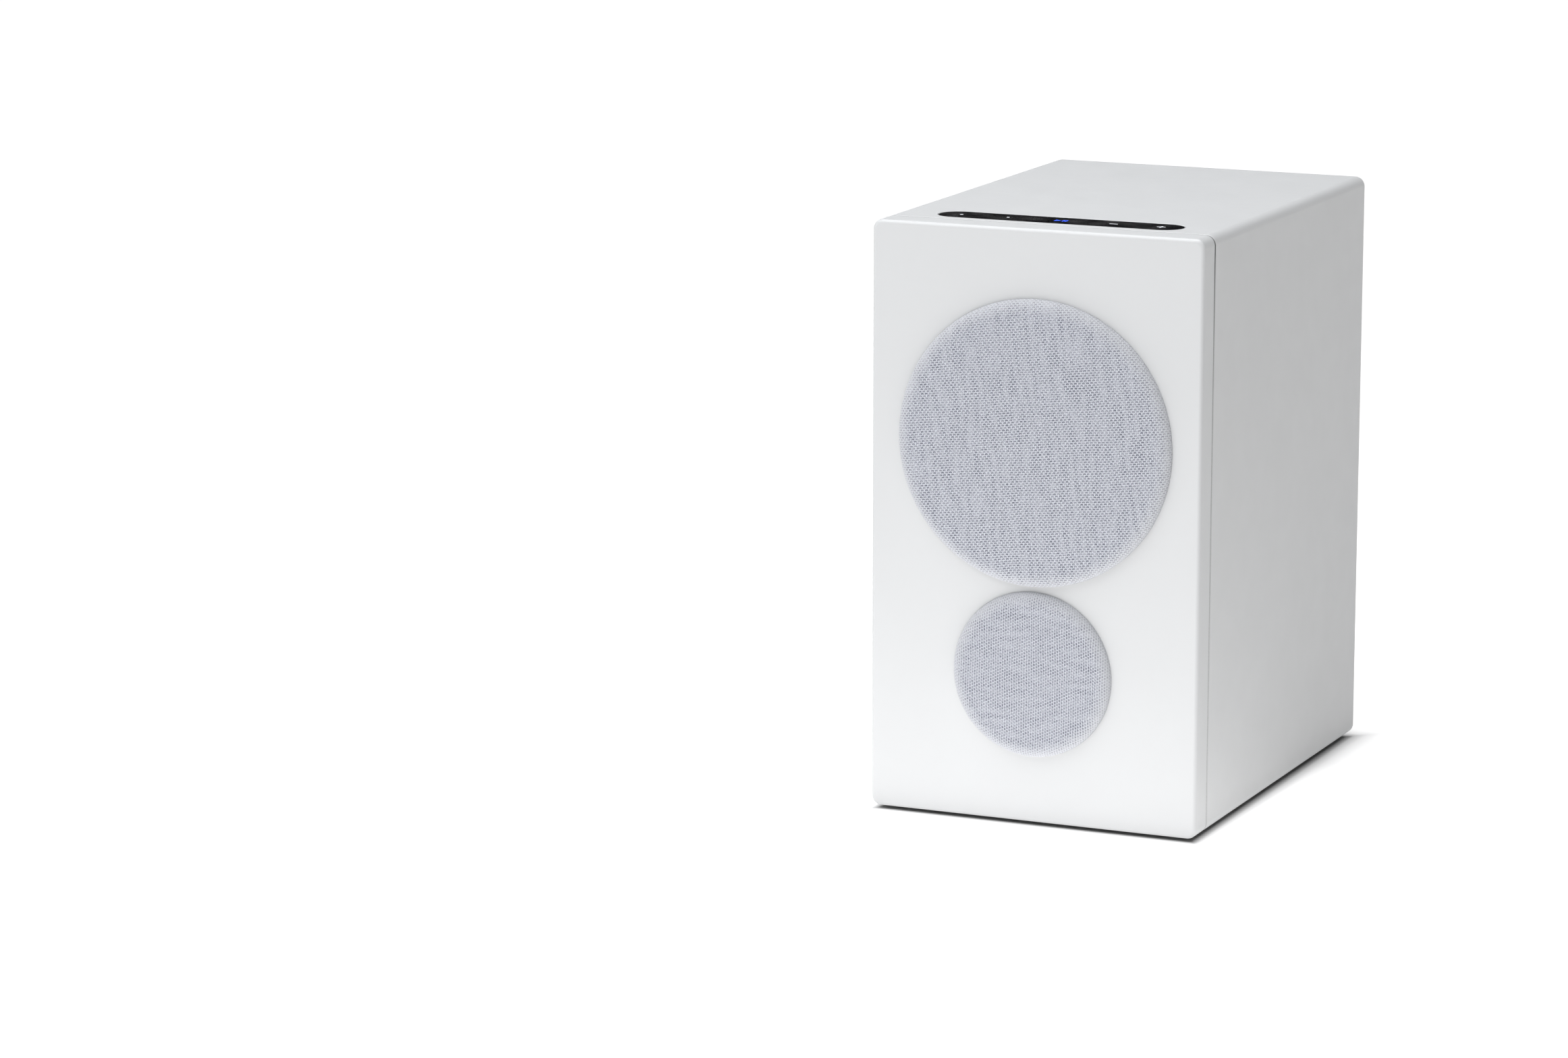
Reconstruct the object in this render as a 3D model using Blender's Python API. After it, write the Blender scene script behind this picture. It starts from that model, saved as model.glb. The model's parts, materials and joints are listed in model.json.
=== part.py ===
"""Powered bookshelf speaker with a touch strip in its top, as separate pieces.

+Z is up, the front faces -Y, and the origin is under the middle of the whole
speaker, at the feet. Depths are counted back from the front of the baffle, and
heights up from the underside of the cabinet.
"""

from math import cos, pi, radians, sin

import bmesh
import bpy
from mathutils import Vector

MM = 0.001
GAP = 0.3 * MM  # left between pieces that touch

# Cabinet
CABINET_WIDTH = 175 * MM
CABINET_HEIGHT = 300 * MM
CABINET_DEPTH = 248 * MM
CORNER_RADIUS = 5 * MM
WALL = 12 * MM
BAFFLE_THICKNESS = 14.5 * MM
GROOVE = 1.8 * MM
SEAL_INSET = 0.8 * MM
FRONT_ROUNDING = 2 * MM
PANEL_THICKNESS = 12 * MM
PANEL_INSET = 1 * MM
FOOT_HEIGHT = 2 * MM
FOOT_RADIUS = 7.5 * MM
FOOT_INSET = 20 * MM
BRACE_DEPTH = 105 * MM
BRACE_THICKNESS = 10 * MM

# Grilles
GRILLE_PROUD = 4.5 * MM
GRILLE_RIM = 6 * MM
GRILLE_DISH = 0.5 * MM
CLOTH = 0.6 * MM
GRILLE_SEAT = 2.2 * MM

# Drivers
WOOFER_HEIGHT = 193 * MM
WOOFER_GRILLE_RADIUS = 72.2 * MM
WOOFER_FLANGE_RADIUS = 63 * MM
WOOFER_SEAT = 9 * MM
WOOFER_HOLE_RADIUS = 55.5 * MM
WOOFER_SCREW_CIRCLE = 60.5 * MM
WOOFER_PEG_CIRCLE = 67.3 * MM
TWEETER_HEIGHT = 76 * MM
TWEETER_GRILLE_RADIUS = 41.85 * MM
TWEETER_FACE_RADIUS = 33.5 * MM
TWEETER_SEAT = 7 * MM
TWEETER_HOLE_RADIUS = 26.5 * MM
TWEETER_SCREW_CIRCLE = 29.8 * MM
TWEETER_PEG_CIRCLE = 38 * MM

# Touch strip
STRIP_LENGTH = 129.5 * MM
STRIP_WIDTH = 20.7 * MM
STRIP_DEPTH = 32.6 * MM
STRIP_THICKNESS = 3 * MM

# Rear
PLATE_WIDTH = 136 * MM
PLATE_HEIGHT = 160 * MM
PLATE_THICKNESS = 2.5 * MM
PLATE_CENTRE = 98 * MM
PANEL_WINDOW_WIDTH = 118 * MM
PANEL_WINDOW_HEIGHT = 138 * MM
PORT_HEIGHT = 238 * MM
PORT_RADIUS = 19 * MM
PORT_WALL = 2 * MM
PORT_COLLAR_RADIUS = 27 * MM
PORT_LENGTH = 125 * MM
REAR_PROUD = 10.5 * MM
ROCKER_TILT = radians(8)

# Worked out from the above
TOTAL_DEPTH = GRILLE_PROUD + CABINET_DEPTH + REAR_PROUD
FRONT_Y = GRILLE_PROUD - TOTAL_DEPTH / 2
SHELL_FRONT = BAFFLE_THICKNESS + GROOVE
PANEL_BACK = CABINET_DEPTH - PANEL_INSET
PLATE_BACK = PANEL_BACK + GAP + PLATE_THICKNESS
INNER_WIDTH = CABINET_WIDTH - 2 * WALL
INNER_HEIGHT = CABINET_HEIGHT - 2 * WALL

# Facets
FINE = 36
MEDIUM = 24
COARSE = 14
SMALL = 8

MATERIALS = {
    # name: (colour, roughness, metallic)
    "satin_lacquer": ((0.84, 0.85, 0.86), 0.38, 0.0),
    "fibreboard": ((0.42, 0.30, 0.20), 0.85, 0.0),
    "grille_cloth": ((0.56, 0.57, 0.62), 0.95, 0.0),
    "grille_plastic": ((0.30, 0.31, 0.33), 0.6, 0.0),
    "black_plastic": ((0.03, 0.03, 0.032), 0.5, 0.0),
    "gloss_black": ((0.012, 0.012, 0.014), 0.08, 0.0),
    "rubber": ((0.02, 0.02, 0.02), 0.75, 0.0),
    "cone_paper": ((0.07, 0.07, 0.075), 0.85, 0.0),
    "dome_fabric": ((0.05, 0.05, 0.055), 0.6, 0.0),
    "spider_cloth": ((0.62, 0.42, 0.20), 0.9, 0.0),
    "copper": ((0.72, 0.35, 0.18), 0.35, 1.0),
    "ferrite": ((0.06, 0.06, 0.065), 0.55, 0.0),
    "zinc_steel": ((0.62, 0.62, 0.60), 0.35, 1.0),
    "black_steel": ((0.04, 0.04, 0.045), 0.5, 0.0),
    "black_aluminium": ((0.05, 0.05, 0.055), 0.45, 0.6),
    "circuit_board": ((0.02, 0.16, 0.09), 0.5, 0.0),
    "socket_red": ((0.55, 0.03, 0.03), 0.4, 0.0),
    "socket_white": ((0.75, 0.75, 0.74), 0.4, 0.0),
    "wadding": ((0.80, 0.80, 0.78), 1.0, 0.0),
}


def clear_scene():
    for obj in list(bpy.data.objects):
        bpy.data.objects.remove(obj, do_unlink=True)


def material(name):
    """The Principled material of this name, made the first time it is asked for."""
    found = bpy.data.materials.get(name)
    if found:
        return found
    colour, roughness, metallic = MATERIALS[name]
    made = bpy.data.materials.new(name)
    made.use_nodes = True
    shader = made.node_tree.nodes["Principled BSDF"]
    shader.inputs["Base Color"].default_value = (*colour, 1)
    shader.inputs["Roughness"].default_value = roughness
    shader.inputs["Metallic"].default_value = metallic
    return made


# Outlines are lists of (u, v) points, anticlockwise.


def circle(radius, count=MEDIUM):
    return [(radius * cos(2 * pi * i / count), radius * sin(2 * pi * i / count)) for i in range(count)]


def rounded_rectangle(width, height, radius, steps=4):
    points = []
    for corner, (sign_u, sign_v) in enumerate([(1, 1), (-1, 1), (-1, -1), (1, -1)]):
        centre_u = sign_u * (width / 2 - radius)
        centre_v = sign_v * (height / 2 - radius)
        for step in range(steps + 1):
            angle = pi / 2 * (corner + step / steps)
            points.append((centre_u + radius * cos(angle), centre_v + radius * sin(angle)))
    return points


def stadium(length, width, steps=7):
    return rounded_rectangle(length, width, width / 2 - 0.05 * MM, steps)


def moved(outline, offset_u, offset_v):
    return [(u + offset_u, v + offset_v) for u, v in outline]


def upright(outline, depth):
    """An outline stood up facing the front, at this depth."""
    return [Vector((u, depth, v)) for u, v in outline]


def level(outline, height):
    """An outline laid flat at this height."""
    return [Vector((u, v, height)) for u, v in outline]


def turned(profile, count=MEDIUM):
    """Rings about the Y axis, one for each (radius, depth) of the profile."""
    return [upright(circle(radius, count), depth) for radius, depth in profile]


def round_plug(radius, front, back, centre_u=0.0, centre_v=0.0, count=SMALL):
    """A short straight cylinder along Y."""
    outline = moved(circle(radius, count), centre_u, centre_v)
    return [upright(outline, front), upright(outline, back)]


def block(width, height, front, back, centre_u=0.0, centre_v=0.0):
    """A square-edged box along Y."""
    corners = [(1, 1), (-1, 1), (-1, -1), (1, -1)]
    outline = [(centre_u + u * width / 2, centre_v + v * height / 2) for u, v in corners]
    return [upright(outline, front), upright(outline, back)]


def skin(bm, loops, ring):
    """Bridges the loops in turn. A ring meets its own start, anything else is capped."""
    rows = [[bm.verts.new(point) for point in loop] for loop in loops]
    pairs = list(zip(rows, rows[1:]))
    if ring:
        pairs.append((rows[-1], rows[0]))
    else:
        bm.faces.new(rows[0])
        bm.faces.new(rows[-1])
    for near, far in pairs:
        for i in range(len(near)):
            j = (i + 1) % len(near)
            bm.faces.new((near[i], near[j], far[j], far[i]))


def mesh_of(name, lofts, ring):
    bm = bmesh.new()
    for loops in lofts:
        skin(bm, loops, ring)
    bmesh.ops.recalc_face_normals(bm, faces=bm.faces)
    mesh = bpy.data.meshes.new(name)
    bm.to_mesh(mesh)
    bm.free()
    mesh.shade_smooth()
    mesh.set_sharp_from_angle(angle=radians(30))
    return mesh


def place(name, mesh, finish, depth=0.0, height=0.0, across=0.0):
    """An object of this mesh at a place counted from the baffle and the cabinet's underside."""
    obj = bpy.data.objects.new(name, mesh)
    if not mesh.materials:
        mesh.materials.append(material(finish))
    obj.location = (across, FRONT_Y + depth, FOOT_HEIGHT + height)
    bpy.context.scene.collection.objects.link(obj)
    return obj


def piece(name, loops, finish, ring=False, **where):
    return place(name, mesh_of(name, [loops], ring), finish, **where)


def helper(name, lofts, **where):
    """A hidden solid that cuts or joins another."""
    obj = place(name, mesh_of(name, lofts, ring=False), "black_plastic", **where)
    obj.hide_render = True
    obj.display_type = "WIRE"
    return obj


def combine(obj, other, operation):
    boolean = obj.modifiers.new(f"{operation.lower()} {other.name}", "BOOLEAN")
    boolean.object = other
    boolean.operation = operation
    boolean.solver = "EXACT"


def cut(obj, *others):
    for other in others:
        combine(obj, other, "DIFFERENCE")


def unite(obj, *others):
    for other in others:
        combine(obj, other, "UNION")


def spots(radius, count, start=0.0):
    """Places spaced evenly round a circle."""
    angles = [start + 2 * pi * i / count for i in range(count)]
    return [(radius * cos(angle), radius * sin(angle)) for angle in angles]


def arc(centre_r, centre_y, radius, start, end, steps):
    """Profile points (radius, depth) along an arc. 0 degrees points outward, 90 points forward."""
    points = []
    for step in range(steps + 1):
        angle = radians(start + (end - start) * step / steps)
        points.append((centre_r + radius * cos(angle), centre_y - radius * sin(angle)))
    return points


def screw_mesh(name, head_radius, head_height, shank_radius, shank_length):
    """A pan-head screw along Y with its head towards -Y and a socket in it."""
    profile = [
        (shank_radius, shank_length),
        (shank_radius, 0),
        (head_radius, 0),
        (head_radius, -0.5 * head_height),
        (0.8 * head_radius, -head_height),
        (0.45 * head_radius, -head_height),
        (0.45 * head_radius, -0.4 * head_height),
    ]
    return mesh_of(name, [turned(profile, SMALL)], ring=False)


# Cabinet


def build_cabinet():
    def frame(width, height, radius, depth):
        return upright(rounded_rectangle(width, height, radius, 5), depth)

    middle = CABINET_HEIGHT / 2
    chamfer = 0.5 * MM
    edge = 1.5 * MM
    shell = piece(
        "cabinet_shell",
        [
            frame(CABINET_WIDTH - 2 * chamfer, CABINET_HEIGHT - 2 * chamfer, CORNER_RADIUS, SHELL_FRONT),
            frame(CABINET_WIDTH, CABINET_HEIGHT, CORNER_RADIUS, SHELL_FRONT + chamfer),
            frame(CABINET_WIDTH, CABINET_HEIGHT, CORNER_RADIUS, CABINET_DEPTH - edge),
            frame(CABINET_WIDTH - edge, CABINET_HEIGHT - edge, CORNER_RADIUS, CABINET_DEPTH - 0.3 * edge),
            frame(CABINET_WIDTH - 2 * edge, CABINET_HEIGHT - 2 * edge, CORNER_RADIUS, CABINET_DEPTH),
            frame(INNER_WIDTH, INNER_HEIGHT, 3 * MM, CABINET_DEPTH),
            frame(INNER_WIDTH, INNER_HEIGHT, 3 * MM, SHELL_FRONT),
        ],
        "satin_lacquer",
        ring=True,
        height=middle,
    )
    slot_outline = stadium(STRIP_LENGTH + 2 * GAP, STRIP_WIDTH + 2 * GAP)
    slot = helper(
        "strip_slot_cutter",
        [[level(slot_outline, CABINET_HEIGHT - 2 * WALL), level(slot_outline, CABINET_HEIGHT + WALL)]],
        depth=STRIP_DEPTH,
    )
    cut(shell, slot)

    seal_width = CABINET_WIDTH - 2 * SEAL_INSET
    seal_height = CABINET_HEIGHT - 2 * SEAL_INSET
    seal_outer = (seal_width, seal_height, CORNER_RADIUS - SEAL_INSET)
    seal_inner = (INNER_WIDTH + 1 * MM, INNER_HEIGHT + 1 * MM, 3 * MM)
    seal_front = BAFFLE_THICKNESS + GAP
    seal_back = SHELL_FRONT - GAP
    piece(
        "baffle_seal",
        [
            frame(*seal_outer, seal_front),
            frame(*seal_outer, seal_back),
            frame(*seal_inner, seal_back),
            frame(*seal_inner, seal_front),
        ],
        "rubber",
        ring=True,
        height=middle,
    )

    brace_size = (INNER_WIDTH - 2 * GAP, INNER_HEIGHT - 2 * GAP, 3 * MM)
    brace = piece(
        "cabinet_brace",
        [frame(*brace_size, BRACE_DEPTH), frame(*brace_size, BRACE_DEPTH + BRACE_THICKNESS)],
        "fibreboard",
        height=middle,
    )
    window_heights = [(78 * MM, 100 * MM), (211 * MM, 126 * MM)]
    windows = [
        [
            upright(moved(rounded_rectangle(116 * MM, height, 12 * MM), 0, centre), depth)
            for depth in (BRACE_DEPTH - WALL, BRACE_DEPTH + 2 * WALL)
        ]
        for centre, height in window_heights
    ]
    cut(brace, helper("brace_window_cutter", windows))

    for side, across in (("left", -1), ("right", 1)):
        for end, depth in (("front", SHELL_FRONT + FOOT_INSET), ("rear", CABINET_DEPTH - FOOT_INSET)):
            piece(
                f"foot_{end}_{side}",
                [
                    level(circle(FOOT_RADIUS - 0.6 * MM, COARSE), -FOOT_HEIGHT),
                    level(circle(FOOT_RADIUS, COARSE), -FOOT_HEIGHT + 0.6 * MM),
                    level(circle(FOOT_RADIUS, COARSE), -GAP),
                ],
                "rubber",
                across=across * (CABINET_WIDTH / 2 - FOOT_INSET),
                depth=depth,
            )


def build_wadding():
    floor = WALL + 1 * MM
    outline = rounded_rectangle(130 * MM, 72 * MM, 10 * MM)
    inner = rounded_rectangle(122 * MM, 64 * MM, 8 * MM)
    piece(
        "damping_wadding",
        [level(inner, floor), level(outline, floor + 4 * MM), level(outline, floor + 18 * MM)]
        + [level(inner, floor + 22 * MM)],
        "wadding",
        depth=60 * MM,
    )


def build_baffle():
    """The front board with a stepped seat for each driver and blind holes for pegs and screws."""

    def outline(inset, depth):
        size = rounded_rectangle(
            CABINET_WIDTH - 2 * inset, CABINET_HEIGHT - 2 * inset, CORNER_RADIUS - inset / 2, 5
        )
        return upright(size, depth)

    loops = [outline(0, BAFFLE_THICKNESS)]
    for angle in (0, pi / 6, pi / 3):
        inset = FRONT_ROUNDING * (1 - cos(angle))
        loops.append(outline(inset, FRONT_ROUNDING * (1 - sin(angle))))
    loops.append(outline(FRONT_ROUNDING, 0))
    baffle = piece("front_baffle", loops, "satin_lacquer", height=CABINET_HEIGHT / 2)

    drivers = [
        ("woofer", WOOFER_HEIGHT, WOOFER_GRILLE_RADIUS, WOOFER_FLANGE_RADIUS, WOOFER_SEAT),
        ("tweeter", TWEETER_HEIGHT, TWEETER_GRILLE_RADIUS, TWEETER_FACE_RADIUS, TWEETER_SEAT),
    ]
    through = {"woofer": WOOFER_HOLE_RADIUS, "tweeter": TWEETER_HOLE_RADIUS}
    for name, height, grille_radius, flange_radius, seat in drivers:
        steps = [
            (grille_radius + GAP, -WALL),
            (grille_radius + GAP, GRILLE_SEAT),
            (flange_radius + GAP, GRILLE_SEAT),
            (flange_radius + GAP, seat),
            (through[name], seat),
            (through[name], BAFFLE_THICKNESS + WALL),
        ]
        cut(baffle, helper(f"{name}_seat_cutter", [turned(steps, FINE)], height=height))

    woofer_pegs = spots(WOOFER_PEG_CIRCLE, 4, pi / 4)
    tweeter_pegs = spots(TWEETER_PEG_CIRCLE, 3, pi / 2)
    woofer_screws = spots(WOOFER_SCREW_CIRCLE, 4)
    tweeter_screws = spots(TWEETER_SCREW_CIRCLE, 3, -pi / 2)
    hole_sets = [
        ("woofer_peg_hole", WOOFER_HEIGHT, woofer_pegs, 2.4 * MM, 10 * MM),
        ("tweeter_peg_hole", TWEETER_HEIGHT, tweeter_pegs, 2 * MM, 9 * MM),
        ("woofer_screw_hole", WOOFER_HEIGHT, woofer_screws, 1.9 * MM, 13.8 * MM),
        ("tweeter_screw_hole", TWEETER_HEIGHT, tweeter_screws, 1.6 * MM, 13 * MM),
    ]
    for name, height, places, radius, depth in hole_sets:
        plugs = [round_plug(radius, -WALL, depth, *spot) for spot in places]
        cut(baffle, helper(f"{name}_cutter", plugs, height=height))


# Grilles


def grille_outline(radius, inset, dish):
    """Half section of the grille's face, from its rim's back edge to the middle."""
    rim_centre = radius - GRILLE_RIM
    front = -GRILLE_PROUD + inset
    points = [(radius - inset, GRILLE_SEAT - GAP)]
    for step in range(4):
        angle = pi / 2 * step / 3
        points.append((rim_centre + (GRILLE_RIM - inset) * cos(angle), front * sin(angle)))
    points += [(rim_centre - 2.5 * MM, front), (rim_centre - 8 * MM, front + 0.6 * dish)]
    points.append((0.5 * MM, front + dish))
    return points


def build_grille(name, radius, height, ring_width, bars, pegs, peg_radius, peg_end):
    """A cloth cap stretched over a plastic ring with cross bars, held by pegs in the baffle."""
    outer = grille_outline(radius, 0, GRILLE_DISH)
    inner = grille_outline(radius, CLOTH, GRILLE_DISH)
    piece(f"{name}_grille_cloth", turned(outer[::-1] + inner, FINE), "grille_cloth", height=height)

    under_cloth = grille_outline(radius, CLOTH + GAP, 0)[:-3]
    back = GRILLE_SEAT - GAP
    inside = radius - CLOTH - GAP - ring_width
    face = under_cloth[-1][1]
    profile = under_cloth + [(inside, face), (inside, back)]
    ring = piece(
        f"{name}_grille_frame", turned(profile, FINE), "grille_plastic", ring=True, height=height
    )
    bar_front = face + GRILLE_DISH + 0.4 * MM
    for number in range(bars):
        bar = helper(
            f"{name}_grille_bar_{number + 1}",
            [block(2 * inside + 2 * MM, 4 * MM, bar_front, bar_front + 1.4 * MM)],
            height=height,
        )
        bar.rotation_euler = (0, pi * number / bars, 0)
        unite(ring, bar)
    hub = helper(
        f"{name}_grille_hub",
        [round_plug(0.22 * radius, bar_front - 0.1 * MM, bar_front + 1.5 * MM, count=COARSE)],
        height=height,
    )
    unite(ring, hub)
    stalks = [round_plug(peg_radius, back - 1 * MM, peg_end, *spot) for spot in pegs]
    unite(ring, helper(f"{name}_grille_pegs", stalks, height=height))


def build_grilles():
    woofer_pegs = spots(WOOFER_PEG_CIRCLE, 4, pi / 4)
    tweeter_pegs = spots(TWEETER_PEG_CIRCLE, 3, pi / 2)
    build_grille(
        "woofer", WOOFER_GRILLE_RADIUS, WOOFER_HEIGHT, 10.5 * MM, 3, woofer_pegs, 2 * MM, 9 * MM
    )
    build_grille(
        "tweeter", TWEETER_GRILLE_RADIUS, TWEETER_HEIGHT, 6.5 * MM, 2, tweeter_pegs, 1.6 * MM, 8 * MM
    )


# Woofer


def build_woofer():
    """Profiles are (radius, depth) in millimetres, so they read like a drawing."""

    def ring(name, profile, finish, count=MEDIUM):
        points = [(radius * MM, depth * MM) for radius, depth in profile]
        return piece(name, turned(points, count), finish, ring=True, height=WOOFER_HEIGHT)

    def capped(name, profile, finish, count=MEDIUM):
        points = [(radius * MM, depth * MM) for radius, depth in profile]
        return piece(name, turned(points, count), finish, height=WOOFER_HEIGHT)

    basket = ring(
        "woofer_basket",
        [(63, 4.2), (63, 7.2), (54, 7.2), (54, 11), (36.5, 31), (36.5, 35.5), (30, 35.5), (30, 40.5)]
        + [(20, 40.5), (20, 38), (27.5, 38), (27.5, 33.7), (34.3, 33.7), (34.3, 30.5), (51.8, 10.6)]
        + [(51.8, 5.6), (58, 5.6), (58, 4.2)],
        "black_steel",
        36,
    )
    windows = []
    for number in range(3):
        angle = pi * (number + 0.5) / 3
        along = Vector((cos(angle), 0, sin(angle)))
        across = Vector((-sin(angle), 0, cos(angle)))
        window = []
        for depth, half_width in ((13 * MM, 18 * MM), (30 * MM, 10 * MM)):
            corners = [(1, 1), (-1, 1), (-1, -1), (1, -1)]
            reach = 80 * MM
            window.append(
                [u * reach * along + v * half_width * across + Vector((0, depth, 0)) for u, v in corners]
            )
        windows.append(
            helper(f"basket_window_cutter_{number + 1}", [window], height=WOOFER_HEIGHT)
        )
    cut(basket, *windows)
    screw_places = spots(WOOFER_SCREW_CIRCLE, 4)
    plugs = [round_plug(1.9 * MM, 0, 8.9 * MM, *spot) for spot in screw_places]
    screw_holes = helper("woofer_flange_cutter", plugs, height=WOOFER_HEIGHT)
    gasket = ring(
        "woofer_gasket", [(62.8, 7.5), (62.8, 8.7), (55.8, 8.7), (55.8, 7.5)], "rubber", 36
    )
    cut(basket, screw_holes)
    cut(gasket, screw_holes)

    roll = arc(46.6, 5.3, 3.85, -180, 0, 4)
    roll_back = arc(46.6, 5.3, 4.55, 0, -180, 4)
    ring(
        "woofer_surround",
        [(39, 4.5), (42.8, 4.5)] + roll[1:-1] + [(50.4, 4.5), (57.7, 4.5), (57.7, 5.3)]
        + roll_back + [(39, 5.3)],
        "rubber",
    )
    ring(
        "woofer_cone",
        [(41.6, 5.6), (41.6, 6.6), (30, 14.3), (14.2, 22.6), (13.3, 22.6), (13.3, 21.8), (29.6, 13.2)]
        + [(40.2, 6.2)],
        "cone_paper",
    )
    dome = arc(0, 42.6, 30, 88.5, 53.5, 3)
    dome_inside = arc(0, 42.6, 29.3, 52.6, 88.5, 3)
    capped("woofer_dust_cap", dome + dome_inside, "cone_paper")
    ring(
        "woofer_voice_coil",
        [(12.4, 20), (12.9, 20), (12.9, 40), (13.15, 40), (13.15, 48)]
        + [(12.9, 48), (12.9, 50), (12.4, 50)],
        "copper",
        COARSE,
    )
    waves = [(13.2 + 20.8 * step / 6, 31.5 + (0.9 if step % 2 else 0)) for step in range(7)]
    waves_back = [(radius, depth + 0.6) for radius, depth in waves[::-1]]
    ring("woofer_spider", waves + waves_back, "spider_cloth", COARSE)
    ring("woofer_top_plate", [(36, 40.8), (36, 45.8), (13.6, 45.8), (13.6, 40.8)], "zinc_steel")
    ring("woofer_magnet", [(40, 46.1), (40, 61.1), (18, 61.1), (18, 46.1)], "ferrite")
    capped(
        "woofer_back_plate",
        [(11.9, 40.8), (11.9, 61.4), (36, 61.4), (36, 66.4)],
        "zinc_steel",
    )
    comb = [(0, -7), (4, -7), (4, -5), (10, -5), (10, -2), (4, -2)]
    comb += [(4, 2), (10, 2), (10, 5), (4, 5), (4, 7), (0, 7)]
    comb = [(u * MM, v * MM) for u, v in comb]
    piece(
        "woofer_terminals",
        [upright(comb, 31.5 * MM), upright(comb, 35 * MM)],
        "black_plastic",
        across=37.2 * MM,
        height=WOOFER_HEIGHT,
    )
    screw = screw_mesh("woofer_screw", 2.6 * MM, 1.5 * MM, 1.5 * MM, 9.4 * MM)
    for number, (across, up) in enumerate(screw_places):
        place(
            f"woofer_screw_{number + 1}", screw, "black_steel",
            across=across, height=WOOFER_HEIGHT + up, depth=3.9 * MM,
        )


# Tweeter


def build_tweeter():
    def shape(name, profile, finish, ring, count=MEDIUM):
        points = [(radius * MM, depth * MM) for radius, depth in profile]
        return piece(name, turned(points, count), finish, ring=ring, height=TWEETER_HEIGHT)

    face = shape(
        "tweeter_faceplate",
        [(33.5, 3.2), (33.5, 6.7), (16.2, 6.7), (16.2, 6.2), (19, 4.4), (24, 3.2)],
        "black_plastic",
        ring=True,
    )
    screw_places = spots(TWEETER_SCREW_CIRCLE, 3, -pi / 2)
    plugs = [round_plug(1.6 * MM, 0, 8 * MM, *spot) for spot in screw_places]
    cut(face, helper("tweeter_face_cutter", plugs, height=TWEETER_HEIGHT))
    shape(
        "tweeter_surround",
        [(12.6, 7.0), (13.1, 7.0), (13.4, 6.3), (14.1, 5.9), (14.8, 6.3), (15.1, 7.0), (20, 7.0)]
        + [(20, 7.4), (14.8, 7.4), (14.1, 6.5), (13.4, 7.4), (12.6, 7.4)],
        "dome_fabric",
        ring=True,
    )
    dome = arc(0, 18.2, 16, 87, 41, 4)
    dome_inside = arc(0, 18.2, 15.6, 40.5, 87, 4)
    shape(
        "tweeter_dome",
        dome + [(12.3, 12.5), (12, 12.5)] + dome_inside,
        "dome_fabric",
        ring=False,
    )
    shape(
        "tweeter_motor_cup",
        [(24, 7.8), (24, 24), (0.5, 24), (0.5, 21), (16, 21), (16, 10.8), (12.8, 10.8), (12.8, 7.8)],
        "zinc_steel",
        ring=True,
    )
    shape("tweeter_magnet", [(11.5, 8.2), (11.5, 20.7)], "ferrite", ring=False)
    shape(
        "tweeter_chamber",
        [(0.5, 42), (25, 42), (26, 41), (26, 10), (24.4, 10), (24.4, 40), (0.5, 40)],
        "black_plastic",
        ring=False,
    )
    screw = screw_mesh("tweeter_screw", 2.2 * MM, 0.9 * MM, 1.2 * MM, 9.6 * MM)
    for number, (across, up) in enumerate(screw_places):
        place(
            f"tweeter_screw_{number + 1}", screw, "black_steel",
            across=across, height=TWEETER_HEIGHT + up, depth=2.9 * MM,
        )


# Touch strip


def build_touch_strip():
    top = CABINET_HEIGHT - 0.1 * MM
    edge = 0.25 * MM
    strip_bottom = top - STRIP_THICKNESS
    piece(
        "touch_strip",
        [
            level(stadium(STRIP_LENGTH, STRIP_WIDTH), strip_bottom),
            level(stadium(STRIP_LENGTH, STRIP_WIDTH), top - edge),
            level(stadium(STRIP_LENGTH - 2 * edge, STRIP_WIDTH - 2 * edge), top),
        ],
        "gloss_black",
        depth=STRIP_DEPTH,
    )
    board = stadium(126 * MM, 17 * MM, 4)
    board_top = strip_bottom - GAP
    board_bottom = board_top - 1.6 * MM
    piece(
        "touch_board", [level(board, board_bottom), level(board, board_top)], "circuit_board",
        depth=STRIP_DEPTH,
    )
    tray_top = board_bottom - GAP
    flange_top = CABINET_HEIGHT - WALL - GAP
    flange_bottom = flange_top - 2.2 * MM
    piece(
        "touch_tray",
        [
            level(stadium(140 * MM, 28 * MM, 4), flange_bottom),
            level(stadium(140 * MM, 28 * MM, 4), flange_top),
            level(stadium(STRIP_LENGTH - 2 * GAP, STRIP_WIDTH - 2 * GAP, 4), flange_top),
            level(stadium(STRIP_LENGTH - 2 * GAP, STRIP_WIDTH - 2 * GAP, 4), tray_top),
            level(stadium(120 * MM, 13 * MM, 4), tray_top),
            level(stadium(120 * MM, 13 * MM, 4), flange_top),
        ],
        "black_plastic",
        depth=STRIP_DEPTH,
    )


# Rear


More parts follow.
